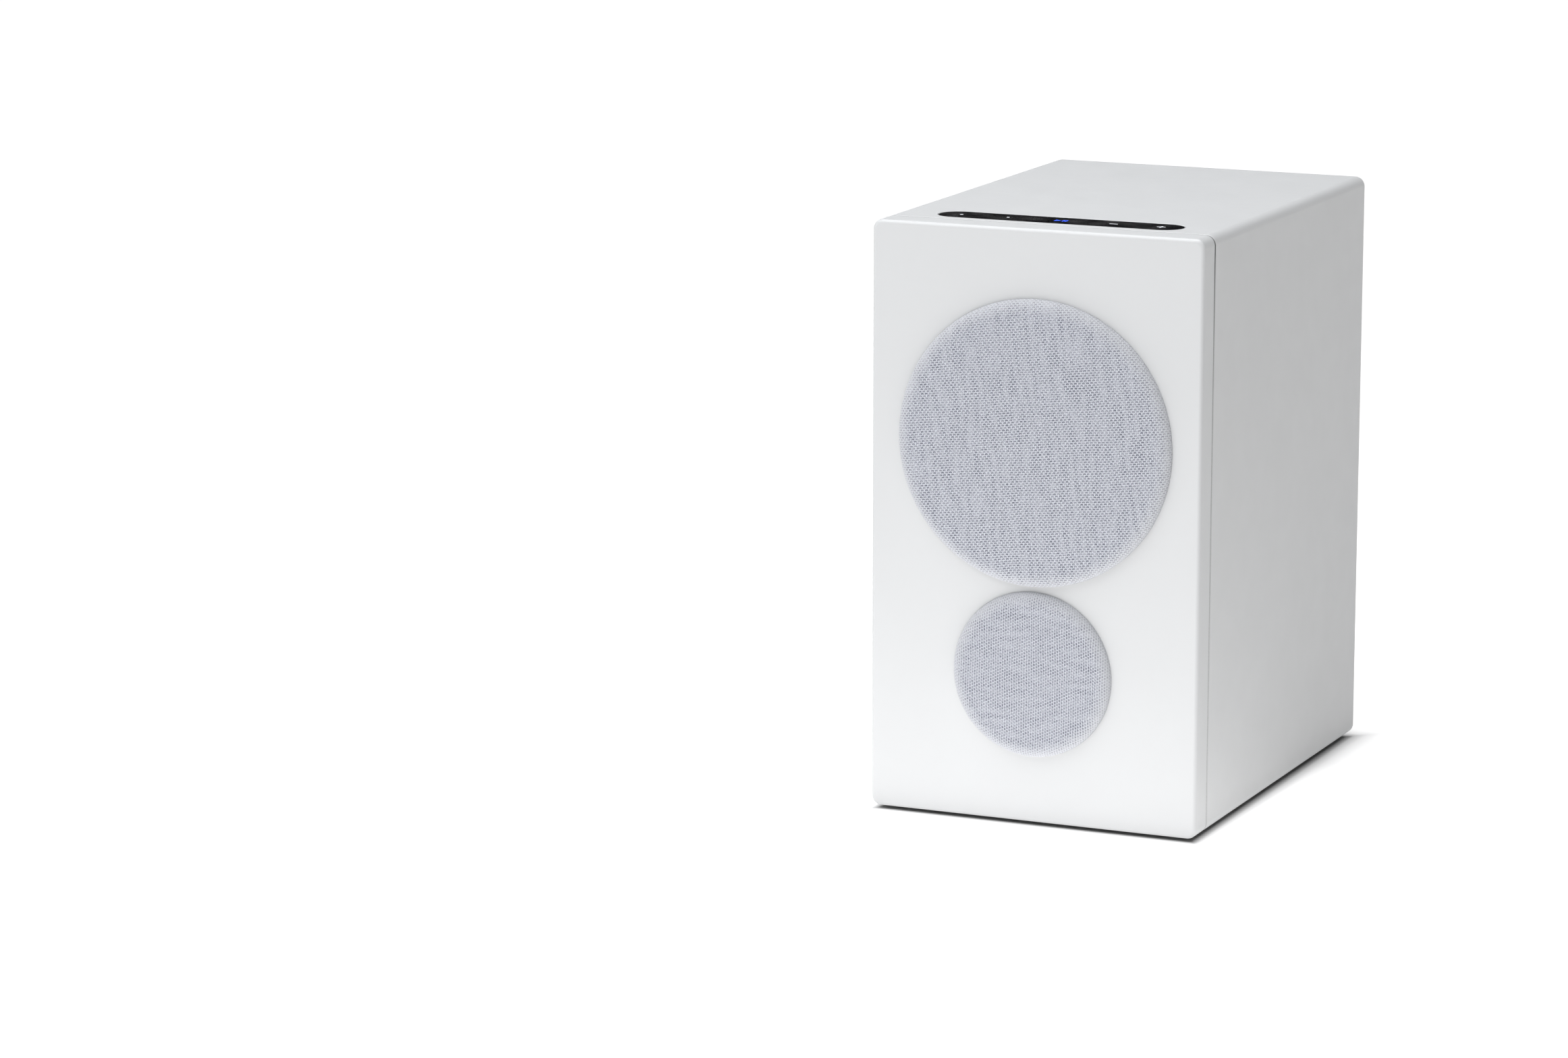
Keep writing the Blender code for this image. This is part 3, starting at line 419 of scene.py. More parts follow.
class Finish:
    """One procedural material, built on its Principled shader and kept in FINISHES by its name."""

    def __init__(self, name, colour, roughness, metallic=0.0, **sockets):
        self.material = FINISHES[name] = bpy.data.materials.new(name)
        self.material.use_nodes = True
        self.tree = self.material.node_tree
        self.shader = self.tree.nodes["Principled BSDF"]
        self.set(Base_Color=(*colour, 1), Roughness=roughness, Metallic=metallic, **sockets)
        self.colour = colour
        self.place = self.node("TexCoord", {}).outputs["Object"]

    def set(self, **sockets):
        for socket, value in sockets.items():
            feed(self.tree, self.shader.inputs[socket.replace("_", " ")], value)

    def node(self, kind, inputs, **settings):
        return add_node(self.tree, kind, inputs, **settings)

    def math(self, operation, a, b=0.0, clamp=False):
        return self.node("Math", {0: a, 1: b}, operation=operation, use_clamp=clamp).outputs[0]

    def along(self, axis, source=None):
        """One coordinate of each point."""
        return self.node("SeparateXYZ", {0: source or self.place}).outputs[axis]

    def scaled(self, x=1.0, y=1.0, z=1.0, turn=(0, 0, 0), source=None):
        inputs = {"Scale": (x, y, z), "Rotation": turn, "Vector": source or self.place}
        return self.node("Mapping", inputs).outputs["Vector"]

    def noise(self, size, detail=2.0, source=None):
        """Noise from 0 to 1 with features about this size."""
        inputs = {"Scale": 1 / (size * MM), "Detail": detail, "Vector": source or self.place}
        return self.node("TexNoise", inputs).outputs["Fac"]

    def cells(self, size, feature="F1"):
        inputs = {"Scale": 1 / (size * MM), "Vector": self.place}
        return self.node("TexVoronoi", inputs, feature=feature).outputs["Distance"]

    def span(self, value, low, high, to_low=0.0, to_high=1.0):
        inputs = {"Value": value, "From Min": low, "From Max": high, "To Min": to_low, "To Max": to_high}
        return self.node("MapRange", inputs, clamp=True).outputs["Result"]

    def blend(self, factor, *colours):
        low, high = (c if hasattr(c, "is_output") else (*c, 1) for c in colours)
        return self.node("Mix", {"Factor": factor, "A": low, "B": high}, data_type="RGBA").outputs["Result"]

    def shine(self, value, low, high):
        self.set(Roughness=self.span(value, 0.3, 0.7, low, high))

    def bump(self, height, distance, strength=1.0):
        inputs = {"Distance": distance * MM, "Strength": strength, "Height": height}
        self.set(Normal=self.node("Bump", inputs).outputs["Normal"])

    def shade(self, factor, dark, light):
        """Colour swings between dark and light times the base colour."""
        low = tuple(c * dark for c in self.colour)
        high = tuple(min(c * light, 1) for c in self.colour)
        self.set(Base_Color=self.blend(factor, low, high))


def lacquer():
    finish = Finish("satin_lacquer", (0.60, 0.6035, 0.606), 0.48, Coat_Weight=0.04, Coat_Roughness=0.3)
    finish.shade(finish.noise(50, 3), 0.985, 1.012)
    finish.shine(finish.noise(12, 4), 0.45, 0.53)
    peel = finish.math("ADD", finish.noise(1.3, 2), finish.math("MULTIPLY", finish.noise(0.35), 0.4))
    finish.bump(peel, 0.012, 0.6)


def grained(name, colour, roughness, grain=0.35, depth=0.03, metallic=0.0):
    """Moulded or cast surface with a fine grain."""
    finish = Finish(name, colour, roughness, metallic)
    finish.shade(finish.noise(8, 4), 0.88, 1.12)
    finish.shine(finish.noise(2, 3), roughness * 0.88, min(roughness * 1.14, 1))
    finish.bump(finish.math("SUBTRACT", 1, finish.cells(grain)), depth, 0.5)


def knit(name, radius, turn, pitch, course, slant=0.0):
    """Knitted mesh: staggered pairs of dark holes between pale threads, with flecks and soft streaks.

    It follows the piece's UV map, which is laid out in metres. Radius is the grille's, where the knit is
    pulled closed over the rim and its yarn painted paler all round, a painted sheen. Pitch is the step along
    a row of stitches, course the step over two rows, and slant the sideways lean of the rows on each other.
    """
    thread = (0.405, 0.415, 0.467)
    bright_thread = (0.60, 0.613, 0.66)
    # The rim's yarn, paler than the rest: a painted sheen.
    rim_sheen_thread = (0.60, 0.605, 0.63)
    hole = (0.11, 0.115, 0.15)
    hole_aside = 0.165  # shares of a pitch, as the next one
    hole_half_width = 0.165
    hole_half_height = 0.15  # a share of a course
    hole_lean = 0.3
    rim_width = 7
    finish = Finish(name, thread, 0.95, Sheen_Weight=0.25, Sheen_Roughness=0.45)
    math = finish.math
    flat = finish.node("TexCoord", {}).outputs["UV"]
    reach = finish.node("VectorMath", {0: flat}, operation="LENGTH").outputs["Value"]
    rim = finish.span(reach, (radius - rim_width) * MM, radius * MM)
    laid = finish.scaled(turn=(0, 0, turn), source=flat)
    x, y = finish.along(0, laid), finish.along(1, laid)
    drift = math("MULTIPLY", math("SUBTRACT", finish.noise(28, 1, laid), 0.5), 0.7)
    leant = math("ADD", x, math("MULTIPLY", y, slant))
    across = math("ADD", math("DIVIDE", leant, pitch * MM), drift)
    up = math("ADD", math("DIVIDE", y, course * MM), drift)

    def stitches(offset):
        """How deep and how open each point of one set of stitches is."""
        whole = []
        part = []
        for value in (across, up):
            moved = math("ADD", value, offset)
            whole.append(math("FLOOR", moved))
            part.append(math("SUBTRACT", math("FRACT", moved), 0.5))
        aside = math("ABSOLUTE", part[0])
        lobe = math("DIVIDE", math("SUBTRACT", aside, hole_aside), hole_half_width)
        lift = math("DIVIDE", math("ADD", part[1], math("MULTIPLY", aside, hole_lean)), hole_half_height)
        squares = [math("MULTIPLY", value, value) for value in (lobe, lift)]
        openness = finish.span(math("ADD", *squares), 0.3, 1.75, 1, 0)
        cell = finish.node("CombineXYZ", {0: math("ADD", whole[0], offset), 1: whole[1]}).outputs[0]
        random = finish.node("TexWhiteNoise", {"Vector": cell}, noise_dimensions="2D").outputs["Value"]
        darkness = finish.span(random, 0, 1, 0.62, 1.0)
        return math("MULTIPLY", openness, darkness), openness

    even_depth, even_open = stitches(0.0)
    odd_depth, odd_open = stitches(0.5)
    depth = math("MAXIMUM", even_depth, odd_depth)
    openness = math("MAXIMUM", even_open, odd_open)
    streaks = finish.noise(2.6, 3, finish.scaled(1, 0.14, 1, source=laid))
    depth = math("MULTIPLY", depth, finish.span(streaks, 0.36, 0.62, 0.55, 1.2), clamp=True)
    depth = math("MULTIPLY", depth, finish.span(rim, 0, 1, 1, 0.45))
    flecks = finish.noise(0.8, 2, laid)
    yarn = finish.blend(finish.span(flecks, 0.36, 0.64), thread, bright_thread)
    # Painted sheen: the yarn turns paler over the rim, all round, while the holes there close up.
    yarn = finish.blend(math("MULTIPLY", rim, 0.8), yarn, rim_sheen_thread)
    finish.set(Base_Color=finish.blend(depth, yarn, hole))
    fuzz = math("MULTIPLY", finish.noise(0.16, 2, laid), 0.3)
    finish.bump(math("ADD", math("SUBTRACT", 1, openness), fuzz), 0.3, 0.9)


def touch_gloss():
    finish = Finish("touch_gloss", (0.006, 0.006, 0.008), 0.06, Coat_Weight=0.5, Coat_Roughness=0.03)
    finish.shade(finish.noise(30, 2), 0.7, 1.3)
    finish.shine(finish.noise(9, 4), 0.05, 0.11)


def lit(name, colour, strength):
    finish = Finish(name, colour, 0.4)
    finish.shade(finish.noise(1.2, 2), 0.92, 1.0)
    finish.set(Emission_Color=(*colour, 1), Emission_Strength=strength)


def joint_painted_shade():
    """The strip between front board and cabinet, grey with painted shade: pale low down, near black close to
    the top.
    """
    finish = Finish("joint_painted_shade", (0.3, 0.3, 0.3), 0.85)
    up = finish.math("ADD", finish.math("DIVIDE", finish.along(2), HEIGHT * MM), 0.5)
    # Painted shade: grey levels from the strip's bottom (0) to its top (1), darkest just under the top.
    stops = [(0, 0.5), (0.6, 0.44), (0.8, 0.36), (0.9, 0.22), (0.965, 0.04), (0.985, 0.06), (1, 0.35)]
    grain = finish.span(finish.noise(0.6, 3), 0.3, 0.7, 0.9, 1.1)
    grey = add_ramp(finish.tree, up, stops)
    shaded = finish.node("VectorMath", {0: grey, "Scale": grain}, operation="SCALE")
    finish.set(Base_Color=shaded.outputs[0])
    finish.bump(finish.noise(0.5, 2), 0.03, 0.5)


def brushed(name, colour, roughness, along=(1, 1, 1)):
    finish = Finish(name, colour, roughness, 1.0)
    lines = finish.noise(0.5, 4, finish.scaled(*along))
    finish.shade(lines, 0.85, 1.1)
    finish.shine(lines, roughness * 0.8, roughness * 1.3)
    finish.bump(lines, 0.01, 0.4)


def paper_cone():
    finish = Finish("cone_paper", (0.045, 0.045, 0.05), 0.85)
    fibres = finish.math("ADD", finish.noise(0.5, 4), finish.noise(3, 3))
    finish.shade(finish.span(fibres, 0.8, 1.2), 0.7, 1.5)
    finish.bump(fibres, 0.08, 0.6)


def circuit_board():
    finish = Finish("circuit_board", (0.02, 0.16, 0.09), 0.4)
    tracks = finish.span(finish.cells(5, "DISTANCE_TO_EDGE"), 0.06, 0.09)
    finish.set(Base_Color=finish.blend(tracks, (0.03, 0.26, 0.14), (0.012, 0.11, 0.06)))
    finish.shine(finish.noise(4, 3), 0.3, 0.45)
    finish.bump(tracks, 0.02, 0.5)


def textile(name, colour, thread, roughness=0.9):
    finish = Finish(name, colour, roughness, Sheen_Weight=0.2)
    inputs = {"Scale": 0.3 / (thread * MM), "Distortion": 2.0, "Vector": finish.place}
    weave = finish.node("TexWave", inputs).outputs["Fac"]
    fibres = finish.math("ADD", weave, finish.noise(thread, 3))
    finish.shade(finish.span(fibres, 0.4, 1.4), 0.75, 1.2)
    finish.bump(fibres, 0.1, 0.6)


for name, *look in (
    ("fibreboard", (0.42, 0.29, 0.18), 0.85, 0.8, 0.1),
    ("seal_rubber", (0.022, 0.022, 0.024), 0.9, 0.5, 0.06),
    ("foot_rubber", (0.035, 0.035, 0.036), 0.8),
    ("grille_plastic", (0.33, 0.34, 0.36), 0.55),
    ("black_plastic", (0.022, 0.022, 0.024), 0.5),
    ("surround_rubber", (0.018, 0.018, 0.019), 0.45, 0.5, 0.01),
    ("ferrite", (0.05, 0.05, 0.055), 0.6, 0.3, 0.02),
    ("black_steel", (0.03, 0.03, 0.033), 0.48, 0.25, 0.015),
    ("black_aluminium", (0.035, 0.035, 0.04), 0.42, 0.2, 0.012, 0.5),
    ("socket_red", (0.5, 0.02, 0.02), 0.35, 0.5, 0.004),
    ("pale_plastic", (0.72, 0.72, 0.70), 0.4, 0.5, 0.004),
):
    grained(name, *look)
lacquer()
knit("grille_cloth", WOOFER_GRILLE_RADIUS, radians(-6.8), 2.13, 2.36)
knit("tweeter_cloth", TWEETER_GRILLE_RADIUS, radians(90), 1.588, 2.52, -0.142)
touch_gloss()
joint_painted_shade()
paper_cone()
textile("dome_fabric", (0.04, 0.04, 0.045), 0.25, 0.55)
textile("spider_cloth", (0.55, 0.34, 0.13), 0.5)
textile("wadding", (0.8, 0.8, 0.78), 1.5, 1.0)
brushed("coil_copper", (0.72, 0.36, 0.18), 0.3, (1, 6, 1))
brushed("zinc_steel", (0.62, 0.62, 0.60), 0.34)
circuit_board()
lit("rocker_print", (0.8, 0.8, 0.8), 0.02)
lit("symbol_white", (0.85, 0.87, 0.9), 0.25)
lit("symbol_blue", (0.03, 0.10, 0.85), 0.9)
SLOT_OF = {part["node"]: part["material_slot"] for part in frame["record"]["subparts"]}
for node_name, node_object in frame["nodes"].items():
    node_object.data.materials.clear()
    node_object.data.materials.append(FINISHES[SLOT_OF[node_name]])


# Cabinet


def frame_loop(inset, radius, depth):
    """A loop this far inside the cabinet's outline."""
    return upright(rounded_rectangle(WIDTH - 2 * inset, HEIGHT - 2 * inset, radius), depth)


def build_cabinet():
    wall = 12
    chamfer = 0.5
    edge = 1.5
    slot_gap = 0.3
    loops = [frame_loop(chamfer, CORNER, SHELL_FRONT), frame_loop(0, CORNER, SHELL_FRONT + chamfer)]
    loops += [frame_loop(edge * (1 - c), CORNER, SHELL_BACK - edge * (1 - s)) for c, s in quarter(6)]
    loops += [frame_loop(wall, INNER_CORNER, depth) for depth in (SHELL_BACK, SHELL_FRONT)]
    shell = piece("lacquered_cabinet", "satin_lacquer", ["cabinet_shell"], (0, 0, MIDDLE), rings=[loops])
    slot = stadium(STRIP_LENGTH + 2 * slot_gap, STRIP_WIDTH + 2 * slot_gap)
    ends = (MIDDLE - 2 * wall, MIDDLE + wall)
    cut(shell, [[level(slot, height, 0, STRIP_DEPTH) for height in ends]], soften=0.25)


def build_baffle():
    rounding = 2
    grille_seat = 2.2
    grille_gap = 0.25
    overshoot = 12
    loops = [frame_loop(0, CORNER, BAFFLE_BACK)]
    for c, s in quarter(6):
        inset = rounding * (1 - c)
        loops.append(frame_loop(inset, CORNER - inset / 2, rounding * (1 - s)))
    baffle = piece("front_board", "satin_lacquer", ["front_baffle"], (0, 0, MIDDLE), [loops])
    lofts = []
    for height, grille, flange, seat, opening in (
        (WOOFER_HEIGHT, WOOFER_GRILLE_RADIUS + grille_gap, 63.3, 9, 55.5),
        (TWEETER_HEIGHT, TWEETER_GRILLE_RADIUS + grille_gap, 33.8, 7, 26.5),
    ):
        steps = [(grille, -overshoot), (grille, grille_seat), (flange, grille_seat), (flange, seat)]
        steps += [(opening, seat), (opening, BAFFLE_BACK + overshoot)]
        lofts.append([[p + Vector((0, 0, height - MIDDLE)) for p in loop] for loop in turned(steps)])
    for height, pegs, radius, depth in (
        (WOOFER_HEIGHT, WOOFER_PEGS, 2.4, 10), (TWEETER_HEIGHT, TWEETER_PEGS, 2, 9),
    ):
        for across, up in pegs:
            lofts.append(through(circle(radius, SMALL), -overshoot, depth, across, up + height - MIDDLE))
    cut(baffle, lofts, soften=0.12)


def build_seal():
    """The strip at the bottom of the groove between the front board and the cabinet."""
    inset = 0.15
    end_gap = 0.1
    reach = 11.5
    ends = (BAFFLE_BACK + end_gap, SHELL_FRONT - end_gap)
    loops = [frame_loop(inset, CORNER - inset, depth) for depth in ends]
    loops += [frame_loop(reach, INNER_CORNER, depth) for depth in ends[::-1]]
    # Its finish is painted shade: pale low down, near black close to the top of the groove.
    piece("joint_seal", "seal_rubber", ["baffle_seal"], (0, 0, MIDDLE), rings=[loops], finish="joint_painted_shade")


# Grilles


def cloth_section(radius, inset):
    """Half section of a grille's cloth, from the middle over the bead of its rim to its back edge."""
    dish = 0.3
    valley, valley_at, valley_width = 0.22, 0.9, 0.08
    innermost = 0.05
    rim_centre = radius - GRILLE_RIM
    front = GRILLE_PROUD - inset
    points = [(radius - inset, GRILLE_BACK), (radius - inset, GRILLE_BACK / 2)]
    points += [(rim_centre + (GRILLE_RIM - inset) * c, -front * s) for c, s in quarter(14)]
    for share in (0.96, 0.93, 0.90, 0.87, 0.84, 0.8, 0.7, 0.55, 0.4, 0.2, 0.08, 0.0):
        sink = valley * max(0.0, 1 - abs(share - valley_at) / valley_width) + dish * (1 - share)
        points.append((rim_centre * share + innermost, sink - front))
    return points[::-1]


def stretches(section):
    """How far each point of a section is along the cloth from the middle, over its radius."""
    travelled = 0.0
    out = [0.0]
    for near, far in zip(section, section[1:]):
        travelled += hypot(far[0] - near[0], far[1] - near[1])
        out.append(travelled / far[0])
    return out


def lay_out(mesh, outer, inner):
    """A UV map in metres: each ring keeps its distance along the cloth from the middle."""
    rings = stretches(outer) + stretches(inner)[::-1]
    layer = mesh.uv_layers.new(name="cloth")
    for loop in mesh.loops:
        co = mesh.vertices[loop.vertex_index].co
        stretch = rings[loop.vertex_index // ROUND]
        layer.data[loop.index].uv = (co.x * stretch, co.z * stretch)


def build_grille_cloth(name, radius, height, finish):
    """The cloth as one thin cap: a beaded rim, a faint valley inside it, then slightly dished."""
    outer = cloth_section(radius + 0.2, 0)
    inner = cloth_section(radius, 0.6)
    mesh = mesh_of(f"{name}_grille_cap", [turned(outer + inner[::-1])], sharp=60)
    lay_out(mesh, outer, inner)
    cloth = place(f"{name}_grille_cap", mesh, "grille_cloth", [f"{name}_grille_cloth"], (0, 0, height),
                  f"{name}_grille", finish=finish)


def build_grille_frame(name, radius, height, inside, bars, pegs, peg_radius, peg_end):
    """The moulded ring under a grille's cloth, with its cross bars, hub and pegs."""
    under_cloth = 0.9
    face = under_cloth - GRILLE_PROUD
    profile = [(radius - under_cloth, GRILLE_BACK)]
    bead = GRILLE_RIM - under_cloth
    profile += [(radius - GRILLE_RIM + bead * c, face * s) for c, s in quarter(8)]
    profile += [(inside, face), (inside, GRILLE_BACK)]
    bar_front = face + 0.9
    bar_depth = 1.4
    bar_section = rounded_rectangle(4, bar_depth, 0.5, 3)
    lofts = []
    for number in range(bars):
        turn = Matrix.Rotation(pi * number / bars, 3, "Y")
        ends = (-inside - 1, inside + 1)
        lofts.append([
            [turn @ Vector((end, bar_front + bar_depth / 2 + v, u)) for u, v in bar_section] for end in ends
        ])
    hub = 0.22 * radius
    hub_front, hub_back = bar_front - 0.1, bar_front + 1.5
    hub_profile = [(0, hub_front), (hub, hub_front), (hub, hub_back), (0, hub_back)]
    lofts.append(turned(softened(hub_profile, 0.4, False), MEDIUM))
    for across, up in pegs:
        peg = [(peg_radius, GRILLE_BACK - 1), (peg_radius, peg_end - 0.7), (0.6 * peg_radius, peg_end)]
        lofts.append([upright(circle(r, SMALL), depth, across, up) for r, depth in peg])
    even_shading(piece(
        f"{name}_grille_ring", "grille_plastic", [f"{name}_grille_frame"], (0, 0, height),
        lofts, [turned(softened(profile, 0.5))], f"{name}_grille",
    ))


def build_grilles():
    build_grille_cloth("woofer", WOOFER_GRILLE_RADIUS, WOOFER_HEIGHT, "grille_cloth")
    build_grille_cloth("tweeter", TWEETER_GRILLE_RADIUS, TWEETER_HEIGHT, "tweeter_cloth")
    build_grille_frame("woofer", WOOFER_GRILLE_RADIUS, WOOFER_HEIGHT, 60.8, 3, WOOFER_PEGS, 2, 9)
    build_grille_frame("tweeter", TWEETER_GRILLE_RADIUS, TWEETER_HEIGHT, 34.45, 2, TWEETER_PEGS, 1.6, 8)


# Drivers


def flexible_ring(name, profile, slot, node, height):
    """A ring between the cabinet and a moving diaphragm. It is built wedge by wedge,
    and then made whole."""
    wedges = []
    count = 12
    steps = 12
    weld = 0.002
    for number in range(count):
        bm = bmesh.new()
        rows = []
        for step in range(steps + 1):
            angle = 2 * pi * (number + step / steps) / count
            rows.append(new_row(bm, [(r * cos(angle), d, r * sin(angle)) for r, d in profile]))
        for near, far in zip(rows, rows[1:]):
            for i in range(len(profile)):
                bm.faces.new((near[i - 1], near[i], far[i], far[i - 1]))
        mesh = mesh_from(bm, name)
        mesh.materials.append(FINISHES[slot])
        wedge = new_object(name if number == 0 else f"{name}_wedge", mesh)
        wedge.location = (0, FRONT_Y, BASE_Z + height * MM)
        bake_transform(wedge)
        wedges.append(wedge)
    whole = wedges[0]
    with bpy.context.temp_override(active_object=whole, selected_editable_objects=wedges):
        bpy.ops.object.join()
    bm = bmesh.new()
    bm.from_mesh(whole.data)
    bmesh.ops.remove_doubles(bm, verts=bm.verts, dist=weld * MM)
    bmesh.ops.recalc_face_normals(bm, faces=bm.faces)
    bm.to_mesh(whole.data)
    bm.free()
    finished(whole.data)
    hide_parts(node)


def screw_mesh(name, head, rise, shank, length):
    """A pan-head screw with a cross recess, pointing into the front, the underside of its head at 0."""
    profile = [(0, -rise), (0.55 * head, -rise), (0.86 * head, -0.8 * rise), (head, -0.4 * rise)]
    profile += [(head, 0), (shank, 0), (shank, length - shank), (0.2 * shank, length)]
    screw = new_object(name, mesh_of(name, [turned(softened(profile, 0.25, False), SMALL)]))
    top = upright(cross(0.62 * head, 0.13 * head), -rise - 1)
    bottom = upright(cross(0.36 * head, 0.1 * head), -0.25 * rise)
    cut(screw, [[top, bottom]])
    bake_modifiers(screw)
    mesh = screw.data
    bpy.data.objects.remove(screw)
    return mesh


def build_screws(name, mesh, places, height, depth, turn=0.0):
    for number, (across, up) in enumerate(places, 1):
        place(f"{name}_fixing_{number}", mesh, "black_steel", [f"{name}_screw_{number}"],
              (across, depth, height + up), turn=turn)


def screw_holes(places, radius, depth=9.2):
    return [through(circle(radius, SMALL), 0, depth, *spot) for spot in places]


def build_woofer():
    height = WOOFER_HEIGHT
    moving = {"body": "woofer_diaphragm"}
    screws = spots(60.5, 4)
    holes = screw_holes(screws, SCREW_HOLE)
    basket = turned_piece(
        "woofer_chassis", "black_steel", "woofer_basket", height,
        [(63, 4.2), (63, 7.2), (54, 7.2), (54, 11), (36.5, 31), (36.5, 35.5), (30, 35.5), (30, 40.5)]
        + [(20, 40.5), (20, 38), (27.5, 38), (27.5, 33.7), (34.3, 33.7), (34.3, 30.5), (51.8, 10.6)]
        + [(51.8, 5.6), (58, 5.6), (58, 4.2)],
        soft=0.6,
    )
    window_reach = 80
    windows = []
    for number in range(3):
        turn = Matrix.Rotation(pi * (number + 0.5) / 3, 3, "Y")
        square = rounded_rectangle(2, 2, 0.1, 3)
        windows.append([[turn @ Vector((window_reach * u, depth, half * v)) for u, v in square]
                        for depth, half in ((13, 18), (30, 10))])
    cut(basket, windows + holes, soften=0.25)
    gasket = turned_piece("woofer_seat_gasket", "seal_rubber", "woofer_gasket", height,
                          [(62.8, 7.5), (62.8, 8.7), (55.8, 8.7), (55.8, 7.5)], soft=0.25)
    cut(gasket, holes)

    flexible_ring(
        "woofer_roll_surround",
        [(39.1, 4.5), (42.4, 4.5), (42.7, 4.75)] + arc(46.6, 5.3, 3.85, -176, -4, 18)
        + [(50.5, 4.75), (50.8, 4.5), (57.6, 4.5), (57.7, 4.6), (57.7, 5.3)]
        + arc(46.6, 5.3, 4.55, 0, -180, 18) + [(39.1, 5.3), (39, 5.2), (39, 4.6)],
        "surround_rubber", "woofer_surround", height,
    )
    waves = [(13.2 + 20.8 * step / 72, 31.95 - 0.45 * cos(6 * pi * step / 72)) for step in range(73)]
    flexible_ring(
        "woofer_centring_spider", waves + [(r, d + 0.6) for r, d in waves[::-1]],
        "spider_cloth", "woofer_spider", height,
    )
    cone_front = [(41.6, 5.6), (41.6, 6.6), (36, 10.6), (30, 14.3), (22, 18.7), (14.2, 22.6), (13.3, 22.6)]
    cone_back = [(13.3, 21.8), (21.6, 17.8), (29.6, 13.2), (35, 9.7), (40.2, 6.2)]
    turned_piece("woofer_paper_cone", "cone_paper", "woofer_cone", height, cone_front + cone_back, **moving)
    cap = arc(0, 42.6, 30, 90, 53.5, 20) + arc(0, 42.6, 29.3, 52.6, 90, 20)
    turned_piece("woofer_centre_cap", "cone_paper", "woofer_dust_cap", height, cap, False, 0.1, **moving)
    build_screws("woofer", screw_mesh("woofer_fixing", 2.6, 1.5, 1.5, 9.4), screws, height, 3.9)


def build_tweeter():
    height = TWEETER_HEIGHT
    screws = spots(29.8, 3, -pi / 2)
    horn = [(16.2, 6.7), (16.2, 6.2), (17.4, 5.3), (19, 4.4), (21.3, 3.6), (24, 3.2)]
    face = turned_piece("tweeter_front", "black_plastic", "tweeter_faceplate", height,
                        [(33.5, 3.2), (33.5, 6.7)] + horn)
    cut(face, screw_holes(screws, 1.6), soften=0.2)
    flexible_ring(
        "tweeter_roll_surround",
        [(12.6, 7.0), (12.9, 7.0), (13.2, 6.75), (13.4, 6.3), (13.75, 6.0), (14.1, 5.9), (14.45, 6.0)]
        + [(14.8, 6.3), (15, 6.75), (15.3, 7.0), (20, 7.0), (20, 7.4), (14.8, 7.4), (14.5, 6.8), (14.1, 6.5)]
        + [(13.7, 6.8), (13.4, 7.4), (12.6, 7.4)],
        "dome_fabric", "tweeter_surround", height,
    )
    dome = arc(0, 18.2, 16, 90, 41, 20) + [(12.3, 12.5), (12, 12.5)] + arc(0, 18.2, 15.6, 40.5, 90, 20)
    turned_piece("tweeter_soft_dome", "dome_fabric", "tweeter_dome", height, dome, False, 0.1,
                 "tweeter_diaphragm")
    build_screws("tweeter", screw_mesh("tweeter_fixing", 2.2, 0.9, 1.2, 9.6), screws, height, 2.9)


# Rear


def build_rear_panel():
    size = rounded_rectangle(PANEL_WIDTH, PANEL_HEIGHT, 3)
    panel = piece("rear_board", "satin_lacquer", ["rear_panel"], (0, 0, MIDDLE),
                  [through(size, PANEL_FRONT, PANEL_BACK)])
    start, end = PANEL_FRONT - 10, PANEL_BACK + 10
    window = rounded_rectangle(118, 138, 4)
    lofts = [through(window, start, end, 0, PLATE_CENTRE - MIDDLE)]
    lofts.append(through(circle(27.3), start, end, 0, PORT_HEIGHT - MIDDLE))
    lofts += [through(circle(SCREW_HOLE, SMALL), PANEL_BACK - 9, end, across, PLATE_CENTRE + up - MIDDLE)
              for across, up in PLATE_SCREWS]
    cut(panel, lofts, soften=0.3)


def build_port():
    bore, spread, flare = 19, 6, 14
    mouth = PANEL_BACK + 2
    inner_end = mouth - 127
    collar = mouth - 15
    lip = mouth - 1.7
    profile = [(bore + 2, inner_end), (bore + 2, collar), (27, collar), (27, lip), (32, lip)]
    profile += [(32, mouth - 0.9), (31.6, mouth - 0.3), (30.8, mouth)]
    profile += [(bore + spread * (1 - c), mouth - flare * (1 - s)) for c, s in quarter(16)[::-1]]
    profile.append((bore, inner_end))
    turned_piece("flared_port", "black_plastic", "port_tube", PORT_HEIGHT, profile, soft=0.4)


def build_amp_plate():
    edge = 0.5
    inside = PANEL_BACK + 0.3
    size = rounded_rectangle(PLATE_WIDTH, PLATE_HEIGHT, 4)
    top = rounded_rectangle(PLATE_WIDTH - 2 * edge, PLATE_HEIGHT - 2 * edge, 3.5)
    sheet = [upright(size, inside), upright(size, PLATE_BACK - edge), upright(top, PLATE_BACK)]
    plate = piece("rear_plate", "black_aluminium", ["amp_plate"], (0, 0, PLATE_CENTRE), [sheet])
    near, far = inside - 5, PLATE_BACK + 5

    def window(width, height, centre):
        outline = rounded_rectangle(width, height, 0.8, 4)
        return through(outline, near, far, centre[0], centre[1] - PLATE_CENTRE)

    def hole(radius, centre):
        return through(circle(radius, MEDIUM), near, far, centre[0], centre[1] - PLATE_CENTRE)

    lofts = [window(25.6, 17.6, INLET_AT), window(15, 21, ROCKER_AT), window(7.6, 3.6, SWITCH_AT)]
    lofts += [hole(4.4, LEFT_SOCKET_AT), hole(4.4, RIGHT_SOCKET_AT), hole(4.3, BUTTON_AT)]
    lofts += [through(circle(SCREW_HOLE, SMALL), near, far, *spot) for spot in PLATE_SCREWS]
    cut(plate, lofts, soften=0.15)
    post_front = 226.9
    post_radius = 3
    posts = [through(circle(post_radius, SMALL), post_front, inside, across, up)
             for up in (-54, 54) for across in (-46, 46)]
    piece("board_posts", "black_aluminium", (), (0, 0, PLATE_CENTRE), posts)
    build_screws("amp_plate", screw_mesh("plate_fixing", 3, 1.7, 1.5, 10), PLATE_SCREWS, PLATE_CENTRE,
                 PLATE_BACK + 0.3, pi)


